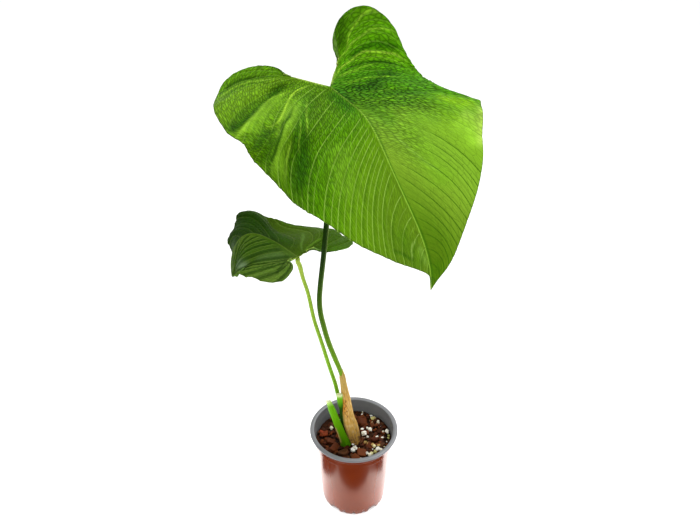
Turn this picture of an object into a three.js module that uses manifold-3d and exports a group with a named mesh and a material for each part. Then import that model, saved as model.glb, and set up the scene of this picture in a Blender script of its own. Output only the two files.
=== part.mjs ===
// Potted Anthurium rugulosum: a nursery pot of soil with a short rooted stem, one large and one
// small heart-shaped leaf, and the bases of two leaves that were cut off.
// Millimetres, +Z up, the pot stands on z = 0 around the origin, and -Y is the front.
import * as THREE from 'three';
import { mergeVertices } from 'three/addons/utils/BufferGeometryUtils.js';
import Module from 'manifold-3d';

const wasm = await Module();
wasm.setup();
const { Manifold, Mesh: SolidMesh } = wasm;

// Pot
const POT_HEIGHT = 105;
const RIM_RADIUS = 50;
const BODY_TOP_RADIUS = 44.9;
const BASE_RADIUS = 37;
const POT_WALL = 0.9;
const COLLAR_HEIGHT = 9;
const COLLAR_STEP = 0.9;
const COLLAR_FLARE = 0.3;
const LIP_DROP = 2;
const POT_SIDES = 36;
const NOTCH_COUNT = 20;
const NOTCH_REACH = 4;
const SMALL_NOTCH = { halfWidth: 2.3, height: 2.6 };
const LARGE_NOTCH = { halfWidth: 6.4, height: 5.4 };
const LARGE_NOTCH_EVERY = 4;
const FIRST_LARGE_NOTCH = 2;

// Soil, with bark chips and perlite pressed into its top
const FIT_GAP = 0.3;
const SOIL_TOP = 88.5;
const SOIL_SIDES = 28;
const SOIL_RINGS = 6;
const SOIL_ROUGHNESS = 1.4;
const SCATTER_RADIUS = 37;
const BARK_COUNT = 14;
const BARK_SIZE = 7;
const PERLITE_COUNT = 16;
const PERLITE_SIZE = 3.4;
const PERLITE_THINS_LEFT_OF = -12;
const PERLITE_THINNING = 0.7;
const LUMP_WIDTH = 0.8;
const LUMP_HEIGHT = 0.6;
const LUMP_SINK = 0.05;
const LARGE_BARK = [[10, 27, 13], [-22, -16, 13], [9, -23, 11], [25, -2, 10], [-35, 6, 10]];
const LARGE_PERLITE = [[12, 5, 6], [3, -17, 6], [24, 30, 4.5], [19, 13, 5], [38, 9, 5], [30, -19, 6],
  [19, -25, 5.5], [-25, 14, 6]];

// Stem and roots in the soil
const STEM_TOP = 84;
const STEM_BOTTOM = 62;
const STEM_CENTRE = [-4.5, -4];
const STEM_RADII = [13.5, 10.5];
const ROOT_COUNT = 5;
const ROOT_BOTTOM = 14;
const ROOT_BOTTOM_SPREAD = 22;
const ROOT_REACH = 25;
const ROOT_RADII = [[0, 2.6], [0.5, 2], [1, 1.1]];

// Leaves. A blade is an outline drawn flat, in mm out from the midrib and along it from the
// stalk, and then bent. The stations are distances along the midrib from the stalk, with the
// lobes below zero. At each station: heading of the midrib (degrees, 0 to the front, 90 to +X),
// pitch below level, roll with the right half down, and for each half its droop at the midrib
// (degrees below level) and how much that droop grows over 100 mm.
const BLADE_THICKNESS = 0.8;
const ROWS_BETWEEN_VEINS = 3;
const ROWS_BETWEEN_WIDE_VEINS = 4;
const WIDE_SPREAD = 25;
const FIRST_COLUMN = 1.8;
const PUCKER = 0.8;
const RELIEF_FULL_AT = 45;
const MARGIN_WAVE = 1.2;
const MARGIN_WAVE_PITCH = 8;
const MIDRIB_LENGTH = 205;
const LOBE_REACH = 70;
const FRAME_STEP = 2.5;
// How side veins run on a half blade with a 205 mm midrib: where one leaves the ribs and where it
// meets the margin, both measured from the tip, and how far it bows back, as a share of its
// length. Beyond the stalk it leaves the bare rib at the edge of the notch.
const EVEN_COURSE = [[0, 0, 0.25], [70, 50, 0.28], [112, 70, 0.1], [140, 96, 0.08],
  [158, 115, 0.1], [205, 155, 0.3], [215, 172, 0.28], [228, 225, 0.2], [236, 270, 0.28],
  [242, 330, 0.25], [246, 372, 0.1]];
const SWEPT_COURSE = [[0, 0, 0.4], [45, 21, 0.38], [75, 35, 0.15], [110, 52, 0.1],
  [140, 80, 0.33], [165, 107, 0.3], [176, 140, 0.28], [190, 180, 0.23], [205, 212, 0.15],
  [215, 234, 0.25], [228, 256, 0.36], [238, 282, 0.42], [242, 312, 0.36], [246, 372, 0.15]];
const LARGE_LEAF = {
  size: 1,
  attachment: [-21, 5, 505],
  stations: [-60, -20, 20, 70, 130, 205],
  heading: [36, 36, 43, 30, 38, 57],
  pitch: [36, 25, 15, 38, 48, 90],
  roll: [-15, -4, 0, 0, -4, -13],
  right: {
    outline: [[0, 205], [7, 194], [22, 180], [40, 159], [64, 137], [83, 109], [95, 85],
      [107, 65], [114, 57], [110, 48], [105, 35], [108, 18], [112, 1], [105, -17], [94, -40],
      [72, -57], [52, -62], [37, -53], [32, -40], [28, -29]],
    droop: [-10, 5, 7, 0, -11, -35],
    curl: [0, 7, -2, -5, 1, 10],
    folds: [
      { at: 250, width: 8, rise: -3, atMargin: 0.1 },
      { at: 268, width: 10, rise: 3, atMargin: 0.1 },
      { at: 345, width: 22, rise: -4, atMargin: 0.3 },
    ],
    course: SWEPT_COURSE,
  },
  left: {
    outline: [[0, 205], [1, 191], [16, 177], [39, 160], [62, 137], [82, 109], [99, 78],
      [107, 44], [107, 14], [102, -12], [86, -41], [71, -57], [50, -60], [35, -52], [27, -42],
      [26, -32]],
    droop: [21, 10, 4, -1, -7, -16],
    curl: [-13, -13, -2, 5, 8, 8],
    folds: [
      { at: 139, width: 12, rise: -10, atMargin: 0.35 },
      { at: 172, width: 18, rise: 3, atMargin: 0 },
      { at: 231, width: 8, rise: -6, atMargin: 0.3 },
      { at: 262, width: 16, rise: 2, atMargin: 0 },
      { at: 60, width: 7, rise: -1.5, atMargin: 0.4 },
    ],
    course: EVEN_COURSE,
  },
  relief: 0.55,
  sideVeins: 15,
  lobeVeins: 12,
  columns: 11,
  ribDepth: 1.6,
};
const SMALL_LEAF = {
  size: 115 / 205,
  attachment: [-54, -9, 343],
  stations: [-34, -11, 11, 39, 73, 115],
  heading: [-138, -133, -131, -108, -91, -73],
  pitch: [25, 7, -10, -18, 56, 96],
  roll: [11, 4, 0, -6, -5, -14],
  right: {
    outline: [[0, 115], [6, 111], [15, 106], [29, 96], [44, 83], [57, 68], [65, 47], [67, 28],
      [64, 9], [62, -10], [55, -20], [42, -28], [32, -26], [24, -20], [19, -12], [17, -3]],
    droop: [-14, -19, -12, 2, 11, 11],
    curl: [26, 20, 18, 18, 10, 1],
    folds: [
      { at: 70, width: 10, rise: -2, atMargin: 0.3 },
      { at: 130, width: 12, rise: 2, atMargin: 0.3 },
    ],
    course: EVEN_COURSE,
  },
  left: {
    outline: [[0, 115], [5, 113], [15, 107], [27, 97], [41, 83], [54, 66], [62, 47], [66, 28],
      [67, 10], [62, -7], [54, -20], [43, -28], [32, -28], [24, -20], [21, -11], [21, -1]],
    droop: [5, -2, -5, 7, -14, 6],
    curl: [16, 27, 33, 23, 18, -46],
    folds: [
      { at: 25, width: 14, rise: -5.6, atMargin: 1 },
      { at: 66, width: 14, rise: 3.3, atMargin: 1 },
      { at: 110, width: 12, rise: 2.9, atMargin: 1 },
      { at: 137, width: 14, rise: -6.6, atMargin: 1 },
      { at: 178, width: 18, rise: 3.3, atMargin: 1 },
    ],
    course: EVEN_COURSE,
  },
  relief: 0.6,
  sideVeins: 10,
  lobeVeins: 7,
  columns: 7,
  ribDepth: 1,
};
const LAST_SIDE_VEIN = 155;
const MARGIN_LENGTH = 372;
const ROWS_FROM = 9;
const ROWS_TO = 366;
const NOTCH_RIB_LENGTH = 41;

// Leaf stalks and what is left of cut ones: a path from the stem upwards
const STALK_GAP_TO_BLADE = 0.4;
const LARGE_STALK = {
  path: [[1, -4, 78], [-0.5, -5, 98], [-2, -5.5, 112], [-5, -5.5, 127], [-7.2, -5.5, 146],
    [-9.5, -5, 162], [-11.8, -4.5, 181], [-14.5, -4, 194], [-20.2, -4.5, 213], [-26.6, -5, 235],
    [-31.1, -5.2, 256], [-34.1, -5.2, 274], [-34.7, -5.2, 289], [-33.7, -5.5, 304],
    [-30.8, -8, 331], [-28, -10.5, 357], [-25.9, -10.5, 381], [-23.5, -4, 437], [-22.3, 3.5, 488]],
  radii: [[0, 4.5], [0.05, 5.2], [0.09, 5], [0.14, 3.7], [0.19, 2.6], [0.24, 2.3],
    [0.275, 2.5], [0.32, 2.7], [0.7, 2.6], [0.94, 2.7], [0.985, 3.4], [1, 3.2]],
  sides: 8,
  steps: 30,
};
const SMALL_STALK = {
  path: [[-6, 3.5, 78], [-10, 4.5, 110], [-14.5, 4.8, 136], [-18.1, 4, 155], [-20.5, 3, 170],
    [-26.8, 1, 198], [-33.7, -1.5, 231], [-40.7, -3.5, 263], [-45.7, -5, 297], [-50.1, -6.5, 317],
    [-52.8, -8, 333]],
  radii: [[0, 2.7], [0.2, 2.4], [0.5, 2.1], [0.9, 1.9], [0.97, 2.3], [1, 2.2]],
  sides: 8,
  steps: 20,
};
const SHEATH = {
  path: [[1.6, -4, 78], [0, -5, 98], [-2.6, -5.5, 112], [-5.7, -5.5, 127], [-7.9, -5.5, 146],
    [-9.5, -5, 162], [-11.8, -4.5, 181], [-12.8, -4.1, 190], [-12.7, -3.6, 197]],
  radii: [[0, 5.6], [0.12, 6.4], [0.2, 7.3], [0.3, 7.4], [0.45, 6], [0.56, 5.4], [0.65, 4.9],
    [0.74, 4.2], [0.84, 3.5], [0.91, 3.3], [0.95, 2.2], [1, 0.4]],
  sides: 12,
  steps: 18,
};
const CUT_STALK_FRONT = {
  path: [[-9, -11.5, 78], [-9.5, -11.5, 90], [-12, -12.3, 101], [-17.2, -13, 120],
    [-22.8, -13.2, 141], [-28.2, -13, 159.5]],
  radii: [[0, 5.5], [0.15, 5.7], [0.28, 4.9], [0.4, 4.5], [0.53, 4.3], [0.7, 4], [0.8, 4.1],
    [0.9, 3.4], [1, 2.6]],
  flatness: 0.34,
  bow: 1.2,
  sides: 12,
  steps: 9,
};
const CUT_STALK_BACK = {
  path: [[-8.8, -0.8, 78], [-10.9, -2.5, 100], [-13.3, -5.8, 118], [-14.2, -8.2, 132],
    [-14.1, -9.6, 143], [-15.3, -10.1, 156], [-15.8, -10.2, 166.5]],
  radii: [[0, 3], [0.2, 2.2], [0.5, 1.6], [0.72, 1.8], [0.85, 3], [1, 3.4]],
  flatness: 0.5,
  bow: 0.4,
  sides: 10,
  steps: 9,
};

// Maths helpers
const radians = THREE.MathUtils.degToRad;

function seededRandom(seed) {
  let state = seed;
  return () => {
    state = (state + 0x6d2b79f5) | 0;
    let t = Math.imul(state ^ (state >>> 15), 1 | state);
    t = (t + Math.imul(t ^ (t >>> 7), 61 | t)) ^ t;
    return ((t ^ (t >>> 14)) >>> 0) / 4294967296;
  };
}

// A smooth curve through values at rising positions that never overshoots them
function profile(positions, values) {
  const last = positions.length - 1;
  const widths = positions.slice(1).map((x, i) => x - positions[i]);
  const slopes = widths.map((w, i) => (values[i + 1] - values[i]) / w);
  const tangents = values.map((_, i) => {
    if (i === 0) return slopes[0];
    if (i === last) return slopes[last - 1];
    if (slopes[i - 1] * slopes[i] <= 0) return 0;
    const before = 2 * widths[i] + widths[i - 1];
    const after = widths[i] + 2 * widths[i - 1];
    return (before + after) / (before / slopes[i - 1] + after / slopes[i]);
  });
  return (x) => {
    let i = 0;
    while (i < last - 1 && x > positions[i + 1]) i += 1;
    const t = THREE.MathUtils.clamp((x - positions[i]) / widths[i], 0, 1);
    const step = values[i + 1] - values[i];
    const start = widths[i] * tangents[i];
    const end = widths[i] * tangents[i + 1];
    const cubic = start + end - 2 * step;
    const square = 3 * step - 2 * start - end;
    return values[i] + t * (start + t * (square + t * cubic));
  };
}

// Solids and geometries
function toSolid(geometry) {
  const bare = geometry.clone();
  bare.deleteAttribute('normal');
  bare.deleteAttribute('uv');
  const merged = mergeVertices(bare, 1e-4);
  return new Manifold(new SolidMesh({
    numProp: 3,
    vertProperties: new Float32Array(merged.attributes.position.array),
    triVerts: new Uint32Array(merged.index.array),
  }));
}

function toGeometry(solid) {
  const mesh = solid.getMesh();
  const geometry = new THREE.BufferGeometry();
  geometry.setAttribute('position', new THREE.BufferAttribute(new Float32Array(mesh.vertProperties), 3));
  geometry.setIndex(new THREE.BufferAttribute(new Uint32Array(mesh.triVerts), 1));
  return geometry;
}

function largestPiece(solid) {
  return solid.decompose().reduce((a, b) => (a.volume() > b.volume() ? a : b));
}

function indexedGeometry(points, triangles) {
  const geometry = new THREE.BufferGeometry().setFromPoints(points);
  geometry.setIndex(triangles);
  return geometry;
}

// A closed stalk along a path, round or flattened, with room added on all sides if asked for
function stalkGeometry({ path, radii, flatness = 1, bow = 0, sides, steps }, room = 0) {
  const curve = new THREE.CatmullRomCurve3(path.map((p) => new THREE.Vector3(...p)), false, 'centripetal');
  const radius = profile(radii.map((r) => r[0]), radii.map((r) => r[1]));
  const points = [];
  for (let i = 0; i <= steps; i += 1) {
    const t = i / steps;
    const centre = curve.getPointAt(t);
    const along = curve.getTangentAt(t);
    const across = new THREE.Vector3(1, 0, 0).addScaledVector(along, -along.x).normalize();
    const back = new THREE.Vector3().crossVectors(along, across);
    const half = radius(t) + room;
    const halfBack = radius(t) * flatness + room;
    for (let j = 0; j < sides; j += 1) {
      const angle = (2 * Math.PI * j) / sides;
      const side = Math.cos(angle);
      points.push(centre.clone()
        .addScaledVector(across, half * side)
        .addScaledVector(back, halfBack * Math.sin(angle) + bow * side * side));
    }
  }
  const triangles = [];
  for (let i = 0; i < steps; i += 1) {
    for (let j = 0; j < sides; j += 1) {
      const a = i * sides + j;
      const b = i * sides + ((j + 1) % sides);
      triangles.push(a, b, b + sides, a, b + sides, a + sides);
    }
  }
  const top = steps * sides;
  for (let j = 0; j < sides / 2; j += 1) {
    const [near, far] = [j, (sides - j) % sides];
    const [nextNear, nextFar] = [j + 1, sides - j - 1];
    if (near !== far) triangles.push(near, far, nextNear, top + near, top + nextNear, top + far);
    if (nextNear !== nextFar) {
      triangles.push(nextNear, far, nextFar, top + nextNear, top + nextFar, top + far);
    }
  }
  return indexedGeometry(points, triangles);
}

// Pot: a thin turned wall with a collar and a flat rim, and drain notches round its foot
const innerRadius = profile(
  [POT_WALL, POT_HEIGHT - COLLAR_HEIGHT - COLLAR_STEP],
  [BASE_RADIUS - POT_WALL, BODY_TOP_RADIUS - POT_WALL],
);

function potSolid() {
  const collarFoot = POT_HEIGHT - COLLAR_HEIGHT;
  const collarRadius = BODY_TOP_RADIUS + COLLAR_STEP;
  const footRound = 1;
  const section = [
    [0, 0],
    [BASE_RADIUS - footRound, 0],
    [BASE_RADIUS, footRound],
    [BODY_TOP_RADIUS, collarFoot - COLLAR_STEP],
    [collarRadius, collarFoot],
    [collarRadius + COLLAR_FLARE, POT_HEIGHT - POT_WALL],
    [RIM_RADIUS - POT_WALL, POT_HEIGHT - POT_WALL],
    [RIM_RADIUS - POT_WALL, POT_HEIGHT - LIP_DROP],
    [RIM_RADIUS, POT_HEIGHT - LIP_DROP],
    [RIM_RADIUS, POT_HEIGHT],
    [collarRadius - POT_WALL, POT_HEIGHT],
    [collarRadius - POT_WALL - COLLAR_FLARE, collarFoot],
    [BODY_TOP_RADIUS - POT_WALL, collarFoot - COLLAR_STEP],
    [BASE_RADIUS - POT_WALL, POT_WALL + footRound],
    [BASE_RADIUS - POT_WALL - footRound, POT_WALL],
    [0, POT_WALL],
  ];
  const wall = new THREE.LatheGeometry(section.map((p) => new THREE.Vector2(...p)), POT_SIDES);
  wall.rotateX(Math.PI / 2);
  let pot = toSolid(wall);
  for (let i = 0; i < NOTCH_COUNT; i += 1) {
    const isLarge = i % LARGE_NOTCH_EVERY === FIRST_LARGE_NOTCH;
    const { halfWidth, height } = isLarge ? LARGE_NOTCH : SMALL_NOTCH;
    const cutter = new THREE.CylinderGeometry(1, 1, 2 * NOTCH_REACH, 8);
    cutter.scale(halfWidth, 1, height);
    cutter.translate(0, -BASE_RADIUS, 0);
    cutter.rotateZ((2 * Math.PI * i) / NOTCH_COUNT);
    pot = pot.subtract(toSolid(cutter));
  }
  return pot;
}

// Blade
function bladeFrame(leaf) {
  const { stations, size } = leaf;
  const heading = profile(stations, leaf.heading.map(radians));
  const pitch = profile(stations, leaf.pitch.map(radians));
  const roll = profile(stations, leaf.roll.map(radians));
  const along = (s) => new THREE.Vector3(
    Math.sin(heading(s)) * Math.cos(pitch(s)),
    -Math.cos(heading(s)) * Math.cos(pitch(s)),
    -Math.sin(pitch(s)),
  );
  const step = FRAME_STEP * size;
  const behind = Math.ceil(LOBE_REACH / FRAME_STEP);
  const ahead = Math.ceil(MIDRIB_LENGTH / FRAME_STEP) + 2;
  const attachment = new THREE.Vector3(...leaf.attachment);
  const points = new Map([[0, attachment]]);
  for (let i = 0; i < ahead; i += 1) {
    points.set(i + 1, points.get(i).clone().addScaledVector(along((i + 0.5) * step), step));
  }
  for (let i = 0; i > -behind; i -= 1) {
    points.set(i - 1, points.get(i).clone().addScaledVector(along((i - 0.5) * step), -step));
  }
  return (s) => {
    const i = THREE.MathUtils.clamp(Math.floor(s / step), -behind, ahead - 1);
    const point = points.get(i).clone().lerp(points.get(i + 1), s / step - i);
    const tangent = along(s);
    const level = new THREE.Vector3(Math.cos(heading(s)), Math.sin(heading(s)), 0);
    const below = new THREE.Vector3().crossVectors(level, tangent);
    const across = level.multiplyScalar(Math.cos(roll(s))).addScaledVector(below, Math.sin(roll(s)));
    const down = new THREE.Vector3().crossVectors(across, tangent);
    return { point, across, down };
  };
}

// The bent place of a point of the flat blade, raised by a height along the blade's normal
function bladeBend(leaf, half, side) {
  const frame = bladeFrame(leaf);
  const droop = profile(leaf.stations, half.droop.map(radians));
  const curl = profile(leaf.stations, half.curl.map((c) => radians(c) / 100));
  return (out, s, height) => {
    const { point, across, down } = frame(s);
    const start = droop(s);
    const bend = curl(s);
    const angle = start + bend * out;
    const straight = Math.abs(bend) < 1e-6;
    const reach = straight ? out * Math.cos(start) : (Math.sin(angle) - Math.sin(start)) / bend;
    const fall = straight ? out * Math.sin(start) : (Math.cos(start) - Math.cos(angle)) / bend;
    return point
      .addScaledVector(across, side * (reach + height * Math.sin(angle)))
      .addScaledVector(down, fall - height * Math.cos(angle));
  };
}

// The veins are numbered from the tip. Both halves of a blade share the places where their veins
// leave the ribs, and each half has its own margin and bow.
const rootOfEvenVein = profile(EVEN_COURSE.map((v) => v[1]), EVEN_COURSE.map((v) => v[0]));

function courseOf(leaf, half) {
  const veinNumbers = [0, leaf.sideVeins, leaf.sideVeins + leaf.lobeVeins];
  const evenPlace = profile(veinNumbers, [0, LAST_SIDE_VEIN, MARGIN_LENGTH]);
  const [roots, margins, bows] = [0, 1, 2].map((k) => half.course.map((v) => v[k]));
  const isEven = half.course === EVEN_COURSE;
  const marginOfRoot = profile(roots, margins);
  const bowAt = profile(isEven ? margins : roots, bows);
  return (vein) => {
    const even = evenPlace(vein);
    const root = rootOfEvenVein(even);
    const distance = isEven || vein === veinNumbers[2] ? even : marginOfRoot(root);
    return { even, root, distance, bow: bowAt(isEven ? even : root) };
  };
}

// The vein numbers of the rows of the mesh, with more rows where veins spread wide at the margin
function rowsOf(leaf) {
  const courses = [leaf.right, leaf.left].map((half) => courseOf(leaf, half));
  const rows = [];
  for (let vein = 0; vein < leaf.sideVeins + leaf.lobeVeins; vein += 1) {
    const spread = Math.max(...courses.map((at) => at(vein + 1).distance - at(vein).distance));
    const isWide = spread * leaf.size > WIDE_SPREAD;
    const steps = isWide ? ROWS_BETWEEN_WIDE_VEINS : ROWS_BETWEEN_VEINS;
    for (let k = 0; k < steps; k += 1) rows.push(vein + k / steps);
  }
  return [...rows, leaf.sideVeins + leaf.lobeVeins];
}

function veinLine(leaf, half, marginCurve, { root, distance, bow }) {
  const notchRib = new THREE.Vector2(...half.outline.at(-1));
  const start = root <= MIDRIB_LENGTH
    ? new THREE.Vector2(0, (MIDRIB_LENGTH - root) * leaf.size)
    : notchRib.multiplyScalar((root - MIDRIB_LENGTH) / NOTCH_RIB_LENGTH);
  const end = marginCurve.getPointAt(distance / MARGIN_LENGTH);
  const chord = end.clone().sub(start);
  const middle = start.clone().addScaledVector(chord, 0.5)
    .add(new THREE.Vector2(chord.y, -chord.x).multiplyScalar(bow));
  return new THREE.QuadraticBezierCurve(start, middle, end);
}

// Folds that follow a side vein, a waved margin, the sunken veins and the pucker between them
function bladeHeight(leaf, half, { vein, distance, share, rowLength, isPuckered }) {
  let height = 0;
  for (const { at, width, rise, atMargin } of half.folds) {
    const reach = share * (1 - (1 - atMargin) * share ** 4);
    height += rise * reach * Math.exp(-(((distance - at) / width) ** 2));
  }
  height += MARGIN_WAVE * leaf.size * share ** 2 * Math.sin(distance / MARGIN_WAVE_PITCH);
  const fade = THREE.MathUtils.smoothstep(share, 0, 0.15);
  height -= leaf.relief * fade * Math.cos(2 * Math.PI * vein);
  if (isPuckered) height += leaf.relief * fade * PUCKER;
  return height * Math.min(1, rowLength / RELIEF_FULL_AT);
}

function halfBladeGrid(leaf, half, side) {
  const marginCurve = new THREE.SplineCurve(half.outline.map((p) => new THREE.Vector2(...p)));
  marginCurve.arcLengthDivisions = 600;
  const bend = bladeBend(leaf, half, side);
  const course = courseOf(leaf, half);
  const { columns } = leaf;
  const grid = [];
  for (const [i, vein] of rowsOf(leaf).entries()) {
    const place = course(vein);
    const isEnd = place.even === 0 || place.even === MARGIN_LENGTH;
    if (!isEnd && (place.even < ROWS_FROM || place.even > ROWS_TO)) continue;
    const row = veinLine(leaf, half, marginCurve, place);
    const rowLength = row.getLength();
    const first = Math.min(FIRST_COLUMN / Math.max(rowLength, 1), 0.5 / columns);
    const line = [];
    for (let j = 0; j <= columns; j += 1) {
      const share = j === 0 ? 0 : THREE.MathUtils.lerp(first, 1, (j - 1) / (columns - 1));
      const isPuckered = !Number.isInteger(vein) && j < columns && (i + j) % 2 === 0;
      const flat = row.getPoint(share);
      const { distance } = place;
      const height = bladeHeight(leaf, half, { vein, distance, share, rowLength, isPuckered });
      line.push(bend(flat.x, flat.y, height));
    }
    grid.push(line);
  }
  return grid;
}

// A thin closed blade from two half grids that share the midrib. Both faces have the same
// triangles, and the underside carries the keel of the ribs.
function bladeGeometry(leaf) {
  const surface = [];
  const triangles = [];
  const isRib = [];
  for (const [half, side] of [[leaf.right, 1], [leaf.left, -1]]) {
    const grid = halfBladeGrid(leaf, half, side);
    const width = grid[0].length;
    const base = surface.length;
    grid.forEach((line) => line.forEach((point, j) => {
      surface.push(point);
      isRib.push(j === 0);
    }));
    for (let i = 0; i < grid.length - 1; i += 1) {
      for (let j = 0; j < width - 1; j += 1) {
        const a = base + i * width + j;
        const [b, c, d] = [a + 1, a + width + 1, a + width];
        const faces = (i + j) % 2 ? [[a, b, c], [a, c, d]] : [[a, b, d], [b, c, d]];
        faces.forEach((f) => triangles.push(...(side > 0 ? f : [f[0], f[2], f[1]])));
      }
    }
  }
  const merged = mergeByPlace(surface, triangles, isRib);
  return thicken(merged, BLADE_THICKNESS, leaf.ribDepth);
}

function mergeByPlace(points, triangles, isRib) {
  const places = new Map();
  const kept = [];
  const rib = [];
  const index = points.map((p, i) => {
    const key = p.toArray().map((x) => Math.round(x * 1000)).join();
    if (!places.has(key)) {
      places.set(key, kept.length);
      kept.push(p);
      rib.push(isRib[i]);
    }
    return places.get(key);
  });
  const faces = [];
  for (let i = 0; i < triangles.length; i += 3) {
    const [a, b, c] = [0, 1, 2].map((k) => index[triangles[i + k]]);
    if (a !== b && b !== c && c !== a) faces.push([a, b, c]);
  }
  return { points: kept, rib, faces };
}

function thicken({ points, rib, faces }, thickness, ribDepth) {
  const skin = indexedGeometry(points, faces.flat());
  skin.computeVertexNormals();
  const normals = points.map((_, i) => new THREE.Vector3().fromBufferAttribute(skin.attributes.normal, i));
  const upper = points.map((p, i) => p.clone().addScaledVector(normals[i], thickness / 2));
  const lower = points.map((p, i) => {
    const depth = thickness / 2 + (rib[i] ? ribDepth : 0);
    return p.clone().addScaledVector(normals[i], -depth);
  });
  const count = points.length;
  const triangles = [];
  const edges = new Map();
  for (const [a, b, c] of faces) {
    triangles.push(a, b, c, count + a, count + c, count + b);
    for (const [from, to] of [[a, b], [b, c], [c, a]]) edges.set(`${from},${to}`, [from, to]);
  }
  for (const [from, to] of edges.values()) {
    if (!edges.has(`${to},${from}`)) {
      triangles.push(to, from, count + from, to, count + from, count + to);
    }
  }
  return indexedGeometry([...upper, ...lower], triangles);
}

// The stalk's last stretch turns square to the blade's underside and stops just short of it
function stalkUnderBlade(stalk, leaf) {
  const { point, down } = bladeFrame(leaf)(0);
  const depth = BLADE_THICKNESS / 2 + leaf.ribDepth + STALK_GAP_TO_BLADE;
  const end = point.addScaledVector(down, depth);
  const before = end.clone().addScaledVector(down, 5);
  return { ...stalk, path: [...stalk.path, before.toArray(), end.toArray()] };
}

// Stem with its roots, in the soil
function stemSolid(room = 0) {
  const [x, y] = STEM_CENTRE;
  const tall = STEM_TOP - STEM_BOTTOM;
  const crown = stalkGeometry({
    path: [[x, y, STEM_BOTTOM - room], [x, y, STEM_BOTTOM + tall / 2], [x, y, STEM_TOP + room]],
    radii: [[0, STEM_RADII[0] * 0.6], [0.35, STEM_RADII[0] * 0.95], [1, STEM_RADII[0]]],
    flatness: STEM_RADII[1] / STEM_RADII[0],
    sides: 14,
    steps: 4,
  }, room);
  let solid = toSolid(crown);
  const random = seededRandom(7);
  for (let i = 0; i < ROOT_COUNT; i += 1) {
    const angle = (2 * Math.PI * (i + 0.6 * random())) / ROOT_COUNT;
    const reach = ROOT_REACH * (0.55 + 0.45 * random());
    const bottom = ROOT_BOTTOM + ROOT_BOTTOM_SPREAD * random();
    const top = STEM_BOTTOM + 8;
    const drop = top - bottom;
    const at = (share, z) => [
      x * (1 - share) + reach * share * Math.cos(angle + share),
      y * (1 - share) + reach * share * Math.sin(angle + share),
      z,
    ];
    const root = stalkGeometry({
      path: [at(0.15, top), at(0.5, top - 0.3 * drop), at(0.85, top - 0.65 * drop),
        at(1, bottom - room)],
      radii: ROOT_RADII,
      sides: 6,
      steps: 4,
    }, room);
    solid = solid.add(toSolid(root));
  }
  return solid;
}

// Soil that fills the pot, with plain holes for everything that stands in it
function soilHeight(x, y) {
  const swell = Math.sin(x / 9 + 1) * Math.cos(y / 7) + 0.5 * Math.sin(x / 4 - y / 5);
  return SOIL_TOP + SOIL_ROUGHNESS * swell;
}

function lump(x, y, size, random, grain) {
  const shape = grain === 'bark' ? new THREE.BoxGeometry(1, 1, 1) : new THREE.OctahedronGeometry(0.6);
  const stretch = () => 0.7 + 0.6 * random();
  shape.scale(size * stretch(), LUMP_WIDTH * size * stretch(), LUMP_HEIGHT * size * stretch());
  shape.rotateX(random() - 0.5);
  shape.rotateY(random() - 0.5);
  shape.rotateZ(2 * Math.PI * random());
  shape.translate(x, y, soilHeight(x, y) - LUMP_SINK * size);
  return toSolid(shape);
}

function soilSolid(standing) {
  const wallGap = FIT_GAP + 0.05;
  const bottom = POT_WALL + FIT_GAP;
  const points = [new THREE.Vector3(0, 0, bottom), new THREE.Vector3(0, 0, soilHeight(0, 0))];
  const ringStart = (ring) => 2 + ring * SOIL_SIDES;
  const topRadius = innerRadius(SOIL_TOP) - wallGap;
  const footRadius = innerRadius(bottom) - wallGap - 2;
  const kneeRadius = innerRadius(bottom) - wallGap;
  const rings = [[footRadius, () => bottom], [kneeRadius, () => bottom + 3], [topRadius, () => SOIL_TOP]];
  for (let i = SOIL_RINGS - 1; i > 0; i -= 1) rings.push([topRadius * i / SOIL_RINGS, soilHeight]);
  for (const [radius, height] of rings) {
    for (let j = 0; j < SOIL_SIDES; j += 1) {
      const angle = (2 * Math.PI * j) / SOIL_SIDES;
      const [x, y] = [radius * Math.cos(angle), radius * Math.sin(angle)];
      points.push(new THREE.Vector3(x, y, height(x, y)));
    }
  }
  const triangles = [];
  for (let j = 0; j < SOIL_SIDES; j += 1) {
    const next = (j + 1) % SOIL_SIDES;
    triangles.push(0, ringStart(0) + next, ringStart(0) + j);
    for (let ring = 0; ring < rings.length - 1; ring += 1) {
      const [a, b] = [ringStart(ring) + j, ringStart(ring) + next];
      triangles.push(a, b, b + SOIL_SIDES, a, b + SOIL_SIDES, a + SOIL_SIDES);
    }
    triangles.push(1, ringStart(rings.length - 1) + j, ringStart(rings.length - 1) + next);
  }
  let soil = toSolid(indexedGeometry(points, triangles));
  const random = seededRandom(21);
  const scatter = (count, size, grain, thinning) => {
    for (let i = 0; i < count; i += 1) {
      const radius = SCATTER_RADIUS * Math.sqrt(random());
      const angle = 2 * Math.PI * random();
      const [x, y] = [radius * Math.cos(angle), radius * Math.sin(angle)];
      const isWanted = x > PERLITE_THINS_LEFT_OF || random() > thinning;
      if (isWanted) soil = soil.add(lump(x, y, size * (0.6 + 0.7 * random()), random, grain));
    }
  };
  for (const [x, y, size] of LARGE_BARK) soil = soil.add(lump(x, y, size, random, 'bark'));
  for (const [x, y, size] of LARGE_PERLITE) soil = soil.add(lump(x, y, size, random, 'perlite'));
  scatter(BARK_COUNT, BARK_SIZE, 'bark', 0);
  scatter(PERLITE_COUNT, PERLITE_SIZE, 'perlite', PERLITE_THINNING);
  const room = new THREE.CylinderGeometry(topRadius, topRadius, 2 * POT_HEIGHT, 2 * SOIL_SIDES);
  room.rotateX(Math.PI / 2);
  soil = soil.intersect(toSolid(room));
  for (const solid of standing) soil = soil.subtract(solid);
  return largestPiece(soil);
}

// Cuts a standing piece level, just above the stem
function standOnStem(solid, above = FIT_GAP) {
  return solid.trimByPlane([0, 0, 1], STEM_TOP + above);
}

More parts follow.
